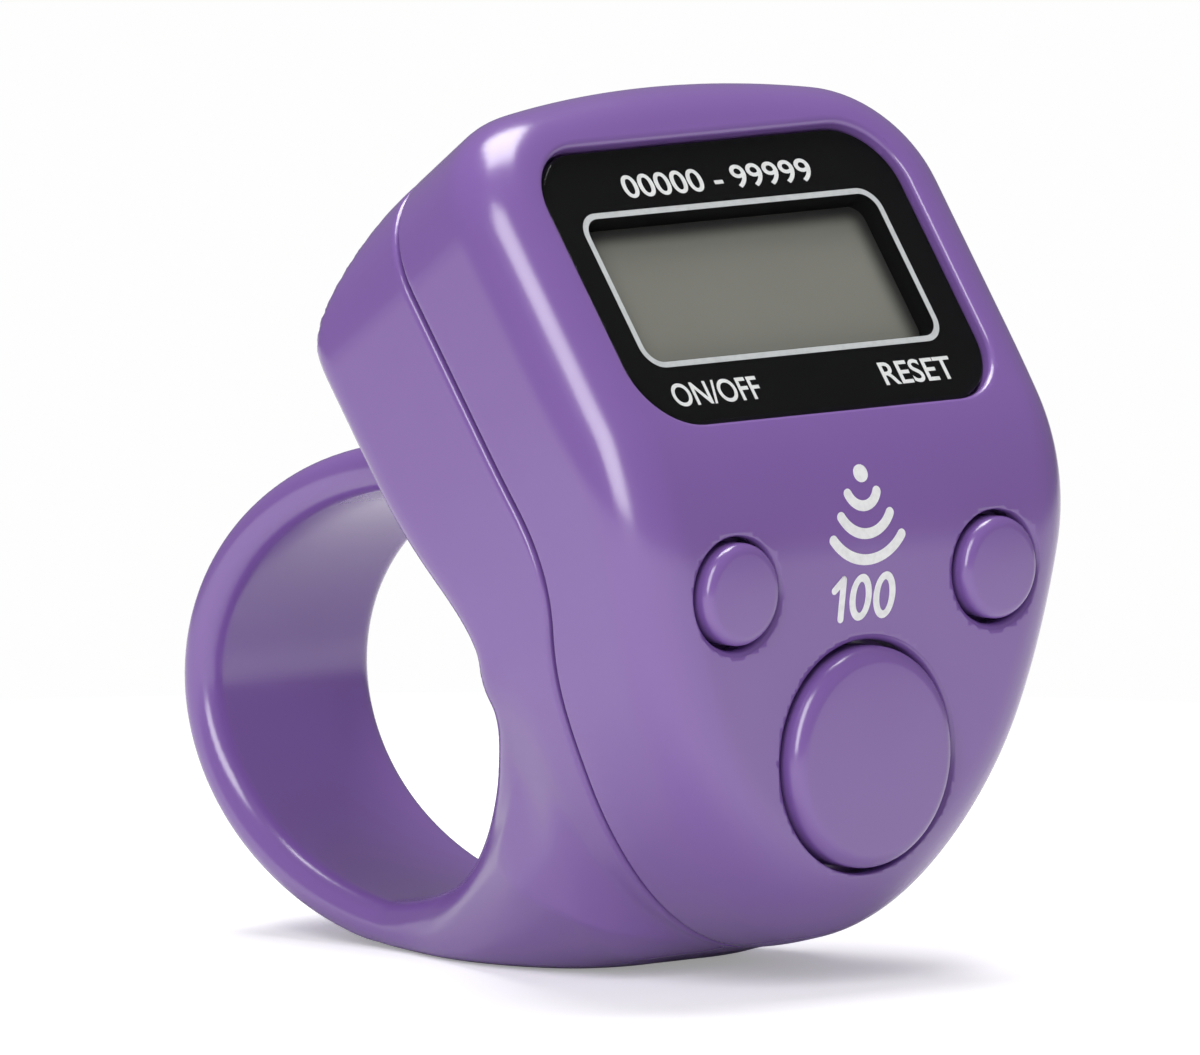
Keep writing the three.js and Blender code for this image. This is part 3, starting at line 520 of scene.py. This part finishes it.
rear_shell = finished("rear_shell_skin", rear_mesh, shell_plastic)
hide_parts("rear_shell")

# THE KEYS are caps of the same purple plastic as the casing, polished on top, with a rounded edge and a wide
# flange that holds each behind the wall. They press rubber domes on the circuit board.
key_plastic = moulded_plastic("key_plastic", purple, 0.2, grain=0.7, level=0.85)


def key_cap(name, radius, proud, x, y, edge, crown=0.06):
    """A key's cap: a stem, a flange behind the wall, and a slightly crowned top with a rounded edge."""
    flange, flange_front, flange_back = radius + 0.65, -1.7, -2.3
    stem, stem_back, bevel = 1.3, -2.9, 0.1
    rim = [(radius - edge * (1 - math.cos(t)), proud - crown - edge * (1 - math.sin(t)))
           for t in np.linspace(0, math.pi / 2, 12)]
    top = [(rim[-1][0] * r, proud - crown * r * r) for r in (0.85, 0.7, 0.55, 0.4, 0.25, 0.12)]
    profile = [(0, stem_back), (stem, stem_back), (stem, flange_back), (flange - bevel, flange_back),
               (flange, flange_back + bevel), (flange, flange_front - bevel), (flange - bevel, flange_front),
               (radius, flange_front), *rim, *top, (0, proud)]
    mesh = lathe_mesh(name + "_cap", profile, on_keys, x, y, 128)
    cap = finished(name + "_cap", mesh, key_plastic, name)
    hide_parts(name + "_button")


key_cap("power", 2.4, 0.6, -small_x, 0, 0.55)
key_cap("reset", 2.4, 0.6, small_x, 0, 0.55)
key_cap("count", 5.2, 0.8, 0, count_y, 0.8, 0.08)

# THE LENS is a die-cut window of clear acrylic with polished faces and a lightly rounded front edge, bonded to
# the black insert behind it and stuck into the pocket.
lens_size = (22.9, 14.8, 3.2)
clear_acrylic, put = node_material("clear_acrylic")
lens_place = put("ShaderNodeTexCoord").outputs["Object"]
lens_smear = put("ShaderNodeTexNoise", {"Vector": lens_place, "Scale": 180, "Detail": 4})
lens_rough = put("ShaderNodeMapRange", {0: lens_smear.outputs["Fac"], 1: 0.35, 2: 0.75, 3: 0.06, 4: 0.12})
lens_bump = put("ShaderNodeBump", {"Strength": 0.02, "Distance": 0.0002, "Height": lens_smear.outputs["Fac"]})
lens_gloss = put("ShaderNodeBsdfGlossy", {"Color": (1, 1, 1, 1), "Roughness": lens_rough.outputs[0],
                                          "Normal": lens_bump.outputs[0]})
lens_clear = put("ShaderNodeBsdfTransparent", {"Color": (0.975, 0.98, 0.975, 1)})
lens_fresnel = put("ShaderNodeFresnel", {"IOR": 1.15})
lens_face = put("ShaderNodeNewGeometry")
front_only = put("ShaderNodeMath", {0: 1.0, 1: lens_face.outputs["Backfacing"]}, operation="SUBTRACT")
lens_share = put("ShaderNodeMath", {0: lens_fresnel.outputs[0], 1: front_only.outputs[0]}, operation="MULTIPLY")
lens_mix = put("ShaderNodeMixShader", {0: lens_share.outputs[0], 1: lens_clear.outputs[0], 2: lens_gloss.outputs[0]})
put("ShaderNodeOutputMaterial", {"Surface": lens_mix.outputs[0]})
lens_front, lens_thick, lens_round = 0.2, 0.3, 0.2
lens_levels = [(rounded_outline(*lens_size), lens_front - lens_thick),
               (rounded_outline(*lens_size), lens_front - lens_round)]
for turn in np.linspace(0, math.pi / 2, 5)[1:]:
    inset = lens_round * (1 - math.cos(turn))
    lens_levels.append((let_in(lens_size, inset), lens_front - lens_round + lens_round * math.sin(turn)))
lens = finished("lens_window", lofted_mesh("lens_window", lens_levels, on_display), clear_acrylic)
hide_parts("display_lens")


def frame_mesh(name, profile, frame_to):
    """A closed frame through outlines of equal count, each given with its outward distance, back to the first."""
    form = bmesh.new()
    rows = [[form.verts.new(frame_to(u, v, out)) for u, v in outline] for outline, out in profile]
    for near, far in zip(rows, rows[1:] + rows[:1]):
        for i in range(len(near)):
            j = (i + 1) % len(near)
            form.faces.new((near[i], near[j], far[j], far[i]))
    bmesh.ops.recalc_face_normals(form, faces=form.faces)
    mesh = bpy.data.meshes.new(name)
    form.to_mesh(mesh)
    form.free()
    return mesh


def frame_plate(name, outer, inner, low, high, frame_to=on_display):
    """A flat plate with a window, between two outward distances."""
    return frame_mesh(name, ((outer, low), (outer, high), (inner, high), (inner, low)), frame_to)


# THE BLACK INSERT behind the lens is moulded with a thin rim that lines the window down to the display glass.
# A silver line round the window and white lettering for the counting range and the small keys are printed on it.
window_size = (18.66, 7.76, 0.9)
black_plastic = moulded_plastic("black_insert", (0.004, 0.004, 0.0045), 0.5, grain=0.0, mottle=0.2, level=0.06)
insert_front, insert_back, rim_back, rim_wall = lens_front - lens_thick - 0.01, -1.22, -2.35, 0.1
insert_outer = rounded_outline(*lens_size)
rim_outer = let_in(window_size, -rim_wall)
window_edge = rounded_outline(*window_size)
insert_profile = ((insert_outer, insert_back), (insert_outer, insert_front), (window_edge, insert_front),
                  (window_edge, rim_back), (rim_outer, rim_back), (rim_outer, insert_back))
film = finished("black_insert", frame_mesh("black_insert", insert_profile, on_display), black_plastic)
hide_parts("display_film")


def printed_ink(name, colour, rough, metallic=0.0):
    """Screen-printed ink: small pinholes in its cover and a slight unevenness."""
    material, put = node_material(name)
    place = put("ShaderNodeTexCoord").outputs["Object"]
    cover = put("ShaderNodeTexNoise", {"Vector": place, "Scale": 2600, "Detail": 3, "Roughness": 0.65})
    shade = put("ShaderNodeMapRange", {0: cover.outputs["Fac"], 1: 0.25, 2: 0.6, 3: 0.86, 4: 1.0})
    tint = put("ShaderNodeMix", {0: shade.outputs[0], 6: (0, 0, 0, 1), 7: (*colour, 1)}, data_type="RGBA")
    bump = put("ShaderNodeBump", {"Strength": 0.15, "Distance": 0.00001, "Height": cover.outputs["Fac"]})
    shader = put("ShaderNodeBsdfPrincipled", {"Base Color": tint.outputs[2], "Roughness": rough, "Metallic": metallic,
                                              "Normal": bump.outputs[0]})
    put("ShaderNodeOutputMaterial", {"Surface": shader.outputs[0]})
    return material


white_ink = printed_ink("white_ink", (0.83, 0.83, 0.84), 0.5)
silver_ink = printed_ink("silver_ink", (0.6, 0.61, 0.63), 0.4)
print_back, print_front = insert_front - 0.02, insert_front + 0.006
line_outer, line_inner = (19.3, 8.4, 1.2), (18.7, 7.8, 0.92)
line_mesh = frame_plate("window_line", rounded_outline(*line_outer), rounded_outline(*line_inner), print_back, print_front)
silver_line = finished("window_line", line_mesh, silver_ink)


def lettering(name, text, height, left, base, width):
    """A word printed on the insert in white, with this height and width, from its left end and foot."""
    curve = bpy.data.curves.new(name, "FONT")
    curve.body, curve.size, curve.resolution_u = text, 1, 6
    curve.offset, curve.extrude = 0.012, 0.5
    source = bpy.data.objects.new(name, curve)
    bpy.context.scene.collection.objects.link(source)
    mesh = bpy.data.meshes.new_from_object(source.evaluated_get(bpy.context.evaluated_depsgraph_get()))
    bpy.data.objects.remove(source)
    points = np.array([v.co for v in mesh.vertices])
    small, large = points.min(0), points.max(0)
    for vertex, (u, v, w) in zip(mesh.vertices, (points - small) / (large - small)):
        vertex.co = on_display(left + width * u, base + height * v, print_back + (print_front - print_back) * w)
    form = bmesh.new()
    form.from_mesh(mesh)
    bmesh.ops.remove_doubles(form, verts=form.verts, dist=1e-7)
    bmesh.ops.recalc_face_normals(form, faces=form.faces)
    form.to_mesh(mesh)
    form.free()
    return finished(name, mesh, white_ink)


words = (("range_print", "00000 - 99999", 1.25, -5.9, 4.8, 12.2), ("reset_print", "RESET", 1.25, 4.55, -6.3, 4.6),
         ("power_print", "ON/OFF", 1.25, -9.0, -6.33, 5.6))
for name, text, height, left, base, width in words:
    piece = lettering(name, text, height, left, base, width)

# THE LIQUID CRYSTAL CELL lies behind the window: a grey-green polariser over a glass cell and its reflector,
# all three cut from sheet and stacked in a white plastic holder. It is blank while the counter is off.
cell_film, put = node_material("polariser_film")
cell_place = put("ShaderNodeTexCoord").outputs["Object"]
cell_axes = put("ShaderNodeSeparateXYZ", {0: cell_place})
# Painted shadow: the film's colour darkens to near black over about 1.6 mm along the window's right edge and 1 mm along
# its top, standing in for the shadow that the window's frame casts on the recessed cell.
window_top = on_display(0, window_size[1] / 2, -1.5)[2]
window_fall = math.cos(display_lean) / 1000
window_right = window_size[0] / 2000
shade_right, shade_top = 0.0016, 1.0 * window_fall
from_side = put("ShaderNodeMapRange", {0: cell_axes.outputs[0], 1: window_right, 2: window_right - shade_right, 3: 0, 4: 1},
                interpolation_type="SMOOTHERSTEP")
from_top = put("ShaderNodeMapRange", {0: cell_axes.outputs[2], 1: window_top + 0.1 * window_fall,
                                      2: window_top - shade_top, 3: 0, 4: 1}, interpolation_type="SMOOTHERSTEP")
painted_shadow_mask = put("ShaderNodeMath", {0: from_side.outputs[0], 1: from_top.outputs[0]}, operation="MULTIPLY")
cell_noise = put("ShaderNodeTexNoise", {"Vector": cell_place, "Scale": 3000, "Detail": 2})
cell_cloud = put("ShaderNodeTexNoise", {"Vector": cell_place, "Scale": 120, "Detail": 2})
cell_bright = put("ShaderNodeMix", {0: cell_cloud.outputs["Fac"], 6: (0.2, 0.197, 0.174, 1), 7: (0.225, 0.222, 0.2, 1)},
                  data_type="RGBA")
cell_tone = put("ShaderNodeMix", {0: painted_shadow_mask.outputs[0], 6: (0.03, 0.03, 0.03, 1), 7: cell_bright.outputs[2]},
                data_type="RGBA")
cell_bump = put("ShaderNodeBump", {"Strength": 0.05, "Distance": 0.00001, "Height": cell_noise.outputs["Fac"]})
cell_shader = put("ShaderNodeBsdfPrincipled", {"Base Color": cell_tone.outputs[2], "Roughness": 0.5,
                                               "Normal": cell_bump.outputs[0], "Specular IOR Level": 0.2})
put("ShaderNodeOutputMaterial", {"Surface": cell_shader.outputs[0]})
film_back, film_front, glass_front = -2.62, -2.43, -1.05
film_sheet = rounded_outline(19.8, 9.2, 0.3)
film_step = rounded_outline(window_size[0] - 0.24, window_size[1] - 0.24, 0.8)
film_levels = [(film_sheet, film_back), (film_sheet, film_front), (film_step, film_front), (film_step, glass_front - 0.02),
               (rounded_outline(18.38, 7.48, 0.78), glass_front)]
polariser = finished("lcd_front_film", lofted_mesh("lcd_front_film", film_levels, on_display), cell_film)
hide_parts("lcd_polariser")


def dress(material, *nodes):
    """Gives these CAD pieces a finish."""
    for node in nodes:
        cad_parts[node].data.materials.clear()
        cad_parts[node].data.materials.append(material)


dress(cell_film, "lcd_cell", "lcd_reflector")

def inner_finish(name, colour, rough, metallic=0.0, spots=1500, spread=0.12, relief=0.1):
    """The finish of a piece inside: colour and gloss that vary a little, with a slight relief."""
    material, put = node_material(name)
    place = put("ShaderNodeTexCoord").outputs["Object"]
    broad = put("ShaderNodeTexNoise", {"Vector": place, "Scale": spots / 6, "Detail": 3})
    fine = put("ShaderNodeTexNoise", {"Vector": place, "Scale": spots, "Detail": 4, "Roughness": 0.6})
    light = tuple(min(c * (1 + spread), 1) for c in colour)
    dark = tuple(c * (1 - spread) for c in colour)
    tint = put("ShaderNodeMix", {0: broad.outputs["Fac"], 6: (*dark, 1), 7: (*light, 1)}, data_type="RGBA")
    gloss = put("ShaderNodeMapRange", {0: fine.outputs["Fac"], 1: 0.3, 2: 0.7, 3: rough - 0.06, 4: rough + 0.06})
    bump = put("ShaderNodeBump", {"Strength": relief, "Distance": 0.00003, "Height": fine.outputs["Fac"]})
    shader = put("ShaderNodeBsdfPrincipled", {"Base Color": tint.outputs[2], "Roughness": gloss.outputs[0],
                                              "Metallic": metallic, "Normal": bump.outputs[0]})
    put("ShaderNodeOutputMaterial", {"Surface": shader.outputs[0]})
    return material


# THE DISPLAY'S FITTINGS are the white moulded holder, the printed heat-seal ribbon to the board and the frame of
# white double-sided tape that holds the lens in its pocket.
dress(inner_finish("white_moulding", (0.8, 0.8, 0.77), 0.45, spread=0.03), "lcd_holder")
dress(inner_finish("heat_seal_ribbon", (0.03, 0.03, 0.035), 0.4, spots=5000, spread=0.25), "lcd_ribbon")
dress(inner_finish("tape_foam", (0.7, 0.69, 0.66), 0.85, spots=5000, spread=0.06, relief=0.35), "lens_tape")

# THE BATTERY DOOR is a small moulded plate of the casing's plastic, let into the back over the cell, with its
# edges rounded and a conical seat for its one screw.
door_front, door_back, door_edge = -13.55, back_face, 0.3
door_levels = [(rounded_outline(*door_size), door_front)]
for turn in np.linspace(0, math.pi / 2, 6):
    inset = door_edge * (1 - math.cos(turn))
    door_levels.append((let_in(door_size, inset), door_back + door_edge * (1 - math.sin(turn))))
screw_x, screw_y = 4.9, 3.1
door_mesh = lofted_mesh("battery_door_plate", door_levels, on_display, 0, door_y)
sink_radius, sink_floor, screw_hole = 1.42, -14.07, 0.82
door_sink = [(0, -15.5), (1.75, -15.5), (1.75, -14.6), (1.6, -14.5), (sink_radius, sink_floor), (screw_hole, sink_floor),
             (screw_hole, -13), (0, -13)]
door_mesh = cut_mesh(door_mesh, lathe_mesh("sink", door_sink, on_display, screw_x, screw_y, 64))
door = finished("battery_door_plate", door_mesh, shell_plastic)
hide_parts("battery_door")

# THE SCREWS are zinc-plated steel, cold-headed with a cross recess, with coarse threads cut for plastic. Two hold
# the shells, two the circuit board and one the battery door.
zinc = inner_finish("zinc_plate", (0.42, 0.44, 0.46), 0.3, 1.0, 2500, 0.1, 0.15)


def screw_mesh(name, frame_to, x, y, head, shaft, tip):
    """One screw, from (radius, back, front) of its head, its thread's radius and the place of its tip."""
    radius, back, front = head
    pitch, thread_deep, neck, slot_half = 0.45, 0.15, 0.3, 0.14
    profile = [(0, back), (radius - 0.15, back), (radius, back + 0.15), (radius, front - 0.05), (radius - 0.05, front),
               (shaft, front)]
    turn = front + neck
    while turn + pitch < tip - 0.4:
        profile += [(shaft - thread_deep, turn), (shaft, turn + pitch * 0.4), (shaft, turn + pitch * 0.55)]
        turn += pitch
    profile += [(shaft - thread_deep, turn), (shaft - 0.2, tip - 0.35), (0.12, tip), (0, tip)]
    mesh = lathe_mesh(name, profile, frame_to, x, y, 48)
    for wide, high in ((radius * 0.6, slot_half), (slot_half, radius * 0.6)):
        slot = [(wide, high), (-wide, high), (-wide, -high), (wide, -high)]
        tight = [(u * 0.6, v * 0.6) for u, v in slot]
        levels = [(slot, back - 0.3), (slot, back + 0.1), (tight, back + 0.42)]
        mesh = cut_mesh(mesh, lofted_mesh("recess", levels, frame_to, x, y))
    return mesh


def screw_row(name, mesh, count, spacing, nodes):
    """The screw repeated by geometry nodes in a row across the casing."""
    master = bpy.data.objects.new(name + "_master", mesh)
    bpy.context.scene.collection.objects.link(master)
    tree = bpy.data.node_groups.new(name, "GeometryNodeTree")
    sockets = {}
    for label, kind in (("Screws", "NodeSocketInt"), ("Spacing", "NodeSocketVector"), ("Screw", "NodeSocketObject"),
                        ("Plating", "NodeSocketMaterial")):
        sockets[label] = tree.interface.new_socket(label, in_out="INPUT", socket_type=kind).identifier
    tree.interface.new_socket("Geometry", in_out="OUTPUT", socket_type="NodeSocketGeometry")
    given, result = tree.nodes.new("NodeGroupInput"), tree.nodes.new("NodeGroupOutput")
    line, shape = tree.nodes.new("GeometryNodeMeshLine"), tree.nodes.new("GeometryNodeObjectInfo")
    placed, real = tree.nodes.new("GeometryNodeInstanceOnPoints"), tree.nodes.new("GeometryNodeRealizeInstances")
    plated = tree.nodes.new("GeometryNodeSetMaterial")
    joins = ((given.outputs["Screws"], line.inputs["Count"]),
             (given.outputs["Spacing"], line.inputs["Offset"]),
             (given.outputs["Screw"], shape.inputs["Object"]),
             (line.outputs["Mesh"], placed.inputs["Points"]),
             (shape.outputs["Geometry"], placed.inputs["Instance"]),
             (placed.outputs["Instances"], real.inputs[0]),
             (real.outputs[0], plated.inputs["Geometry"]),
             (given.outputs["Plating"], plated.inputs["Material"]),
             (plated.outputs["Geometry"], result.inputs["Geometry"]))
    for source, target in joins:
        tree.links.new(source, target)
    holder = bpy.data.objects.new(name + "_holder", bpy.data.meshes.new(name))
    bpy.context.scene.collection.objects.link(holder)
    row = holder.modifiers.new("row", "NODES")
    row.node_group = tree
    values = {"Screws": count, "Spacing": (spacing / 1000, 0.0, 0.0), "Screw": master, "Plating": zinc}
    for label, value in values.items():
        row[sockets[label]] = value
    made = bpy.data.meshes.new_from_object(holder.evaluated_get(bpy.context.evaluated_depsgraph_get()))
    for item in (holder, master):
        bpy.data.objects.remove(item)
    screws = finished(name, made, zinc)
    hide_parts(*nodes)


casing_screw = screw_mesh("screw", on_display, -well_x, well_y, (1.3, -9.75, -8.95), 0.7, -3.55)
screw_row("casing_screws", casing_screw, 2, 2 * well_x, ("shell_screw_left", "shell_screw_right"))
board_screw = screw_mesh("screw", on_keys, -7.6, -5, (1.2, -6.6, -5.8), 0.6, -2.4)
screw_row("board_screws", board_screw, 2, 15.2, ("board_screw_left", "board_screw_right"))
door_screw = screw_mesh("screw", on_display, screw_x, screw_y, (1.3, -14.97, -14.17), 0.7, -11.17)
screw_row("door_screws", door_screw, 1, 0, ("door_screw",))

# THE KEYS' SWITCHES are domes of pale silicone rubber, each with a pill of black carbon-filled rubber that closes
# the contacts on the board.
silicone = inner_finish("silicone_rubber", (0.56, 0.58, 0.56), 0.55, spread=0.05, relief=0.2)
carbon = inner_finish("carbon_rubber", (0.012, 0.012, 0.012), 0.75, spread=0.3, relief=0.3)
for key in ("power", "reset", "count"):
    dress(silicone, key + "_dome")
    dress(carbon, key + "_pill")

# THE CIRCUIT BOARD is glass-fibre laminate under green solder resist, with the chip under a blob of black epoxy
# and two small chip parts soldered beside it.
dress(inner_finish("solder_resist", (0.03, 0.15, 0.05), 0.35, spots=4000, spread=0.2, relief=0.2), "circuit_board")
dress(inner_finish("epoxy_blob", (0.008, 0.008, 0.009), 0.25, spots=700, spread=0.3, relief=0.15), "chip_blob")
dress(inner_finish("tan_ceramic", (0.46, 0.33, 0.19), 0.5, spots=6000, relief=0.2), "smd_capacitor")
dress(inner_finish("black_ceramic", (0.013, 0.013, 0.015), 0.45, spots=6000, relief=0.2), "smd_resistor")

# THE CELL AND ITS CONTACTS: a nickel-plated button cell between two leaves of plated spring strip.
dress(inner_finish("nickel_can", (0.58, 0.58, 0.57), 0.25, 1.0, 1800, 0.08, 0.12), "battery_cell")
spring_strip = inner_finish("spring_strip", (0.49, 0.5, 0.53), 0.32, 1.0, 3500, 0.1, 0.2)
dress(spring_strip, "battery_contact_negative", "battery_contact_positive")

# THE BUZZER is a brass disc with a silvered ceramic wafer bonded on it and two thin insulated leads.
dress(inner_finish("rolled_brass", (0.58, 0.36, 0.09), 0.3, 1.0, 3000, 0.12, 0.15), "buzzer_disc")
dress(inner_finish("wafer", (0.77, 0.74, 0.66), 0.5, spots=5000, spread=0.05, relief=0.2), "buzzer_ceramic")
dress(inner_finish("red_sleeve", (0.43, 0.03, 0.02), 0.35, relief=0.15), "buzzer_lead_red")
dress(inner_finish("black_sleeve", (0.013, 0.013, 0.014), 0.35, relief=0.15), "buzzer_lead_black")

# THE PRINT ON THE CASING is one pass of white ink: a dot over three arcs, as a sign of the key's sound, and
# the number of the beep's interval.


def on_casing(x, y, out):
    """The casing's face as a working frame: across, along and outward."""
    return Vector(to_place(on_face(np.array(x), np.array(y), np.array(-out))))


def ink_stroke(name, line, width):
    """A stroke with round ends along a line on the face."""
    line = np.array(line)
    ahead = np.gradient(line, axis=0)
    ahead /= np.hypot(*ahead.T)[:, None]
    aside = np.stack([-ahead[:, 1], ahead[:, 0]], 1) * width / 2
    caps = [math.pi * i / 12 for i in range(13)]
    start = [line[0] - ahead[0] * math.sin(t) * width / 2 + aside[0] * math.cos(t) for t in caps]
    end = [line[-1] + ahead[-1] * math.sin(t) * width / 2 - aside[-1] * math.cos(t) for t in caps]
    left = [tuple(p) for p in (line - aside)[1:-1]]
    right = [tuple(p) for p in (line + aside)[1:-1]]
    form = bmesh.new()
    loop = [tuple(p) for p in start] + left + [tuple(p) for p in end] + right[::-1]
    rows = [[form.verts.new(on_casing(u, v, out)) for u, v in loop] for out in (-0.05, 0.03)]
    form.faces.new(rows[0])
    form.faces.new(rows[1][::-1])
    bmesh.ops.triangulate(form, faces=form.faces)
    for i in range(len(loop)):
        j = (i + 1) % len(loop)
        form.faces.new((rows[0][i], rows[0][j], rows[1][j], rows[1][i]))
    bmesh.ops.recalc_face_normals(form, faces=form.faces)
    mesh = bpy.data.meshes.new(name)
    form.to_mesh(mesh)
    form.free()
    piece = finished(name, mesh, white_ink)


ink_stroke("sign_dot", [(0.2 - 0.02, 4.03), (0.2, 4.03), (0.2 + 0.02, 4.03)], 0.85)
for number, (half, end, sag) in enumerate(((0.93, 3.12, 0.62), (1.57, 2.07, 0.87), (2.2, 1.02, 1.03)), 1):
    radius = (half**2 + sag**2) / (2 * sag)
    turns = np.linspace(-1, 1, 25) * math.asin(half / radius)
    arc = [(0.05 + radius * math.sin(t), end - sag + radius * (1 - math.cos(t))) for t in turns]
    ink_stroke(f"sign_arc_{number}", arc, 0.5)
ink_stroke("number_one_flag", [(-2.13, -1.32), (-1.85, -1.1), (-1.52, -0.84)], 0.34)
ink_stroke("number_one", [(-1.52, -0.84), (-1.6, -1.5), (-1.68, -2.1), (-1.75, -2.66)], 0.36)
for name, middle in (("number_nought_1", -0.44), ("number_nought_2", 1.1)):
    oval = [(math.cos(t), math.sin(t)) for t in np.linspace(0, 2 * math.pi, 48, endpoint=False)]
    rims = [[(middle + w * u + 0.13 * h * v, -1.73 + h * v) for u, v in oval] for w, h in ((0.7, 1.08), (0.33, 0.72))]
    finished(name, frame_plate(name, *rims, -0.05, 0.03, on_casing), white_ink)

# THE FLOOR is a sheet of white paper under plain soft light, with the camera's long lens at the photograph's angle.
floor_mesh = bpy.data.meshes.new("floor")
floor_mesh.from_pydata([(-4, -4, 0), (4, -4, 0), (4, 9, 0), (-4, 9, 0)], [], [(0, 1, 2, 3)])
paper, put = node_material("paper")
floor_place = put("ShaderNodeTexCoord").outputs["Object"]
floor_away = put("ShaderNodeVectorMath", {0: floor_place}, operation="LENGTH")
floor_fade = put("ShaderNodeMapRange", {0: floor_away.outputs["Value"], 1: 0.05, 2: 0.11, 3: 0, 4: 1})
floor_diffuse = put("ShaderNodeBsdfDiffuse", {"Color": (0.93, 0.93, 0.93, 1)})
floor_white = put("ShaderNodeEmission", {"Color": (0.99, 0.99, 0.99, 1), "Strength": 1.0})
seen = put("ShaderNodeLightPath")
floor_lift = put("ShaderNodeMath", {0: 0.3, 1: seen.outputs["Is Camera Ray"]}, operation="MULTIPLY")
floor_glow = put("ShaderNodeEmission", {"Color": (1, 1, 1, 1), "Strength": floor_lift.outputs[0]})
floor_near = put("ShaderNodeAddShader", {0: floor_diffuse.outputs[0], 1: floor_glow.outputs[0]})
fade = put("ShaderNodeMath", {0: floor_fade.outputs[0], 1: seen.outputs["Is Camera Ray"]}, operation="MULTIPLY")
floor_mix = put("ShaderNodeMixShader", {0: fade.outputs[0], 1: floor_near.outputs[0], 2: floor_white.outputs[0]})
put("ShaderNodeOutputMaterial", {"Surface": floor_mix.outputs[0]})
floor_mesh.materials.append(paper)
floor = bpy.data.objects.new("floor", floor_mesh)
bpy.context.scene.collection.objects.link(floor)

world = bpy.data.worlds.new("studio")
bpy.context.scene.world = world
world.use_nodes = True
sky = world.node_tree
sky_path = sky.nodes.new("ShaderNodeLightPath")
sky_level = sky.nodes.new("ShaderNodeMapRange")
sky_level.inputs[3].default_value, sky_level.inputs[4].default_value = 0.22, 0.99
sky.links.new(sky_path.outputs["Is Camera Ray"], sky_level.inputs[0])
sky.nodes["Background"].inputs["Color"].default_value = (1, 1, 1, 1)
sky.links.new(sky_level.outputs[0], sky.nodes["Background"].inputs["Strength"])


def soft_lamp(name, azimuth, height, away, size, power):
    """A lamp aimed at the counter, from degrees left of its front and degrees up."""
    azimuth, height = math.radians(azimuth), math.radians(height)
    towards = Vector((-math.sin(azimuth) * math.cos(height), -math.cos(azimuth) * math.cos(height), math.sin(height)))
    lamp = bpy.data.lights.new(name, "AREA")
    lamp.shape, lamp.size, lamp.size_y, lamp.energy = "RECTANGLE", size[0], size[1], power
    stand = bpy.data.objects.new(name, lamp)
    stand.location = Vector((0, 0, 0.02)) + away * towards
    stand.rotation_euler = towards.to_track_quat("Z", "Y").to_euler()
    bpy.context.scene.collection.objects.link(stand)


soft_lamp("strip_lamp", 59, 30, 0.9, (0.34, 0.85), 5.6)
soft_lamp("top_lamp", 215, 74, 0.6, (0.35, 0.35), 3.4)

azimuth, elevation = math.radians(44), math.radians(6.2)
level = math.cos(elevation)
to_camera = Vector((-level * math.sin(azimuth), -level * math.cos(azimuth), math.sin(elevation)))
camera_right = Vector((math.cos(azimuth), -math.sin(azimuth), 0))
camera_up = to_camera.cross(camera_right)
aim = Vector(to_place((0, 0, 0))) + camera_right * -0.012117 + camera_up * 0.002439
camera = bpy.data.cameras.new("camera")
camera_away = 2.0
camera.lens, camera.sensor_width, camera.clip_end = 1293.3, 36, 30
stand = bpy.data.objects.new("camera", camera)
stand.location = aim + to_camera * camera_away
stand.rotation_euler = Matrix((camera_right, camera_up, to_camera)).transposed().to_euler()
bpy.context.scene.collection.objects.link(stand)
bpy.context.scene.camera = stand
bpy.context.scene.view_settings.view_transform = "Standard"
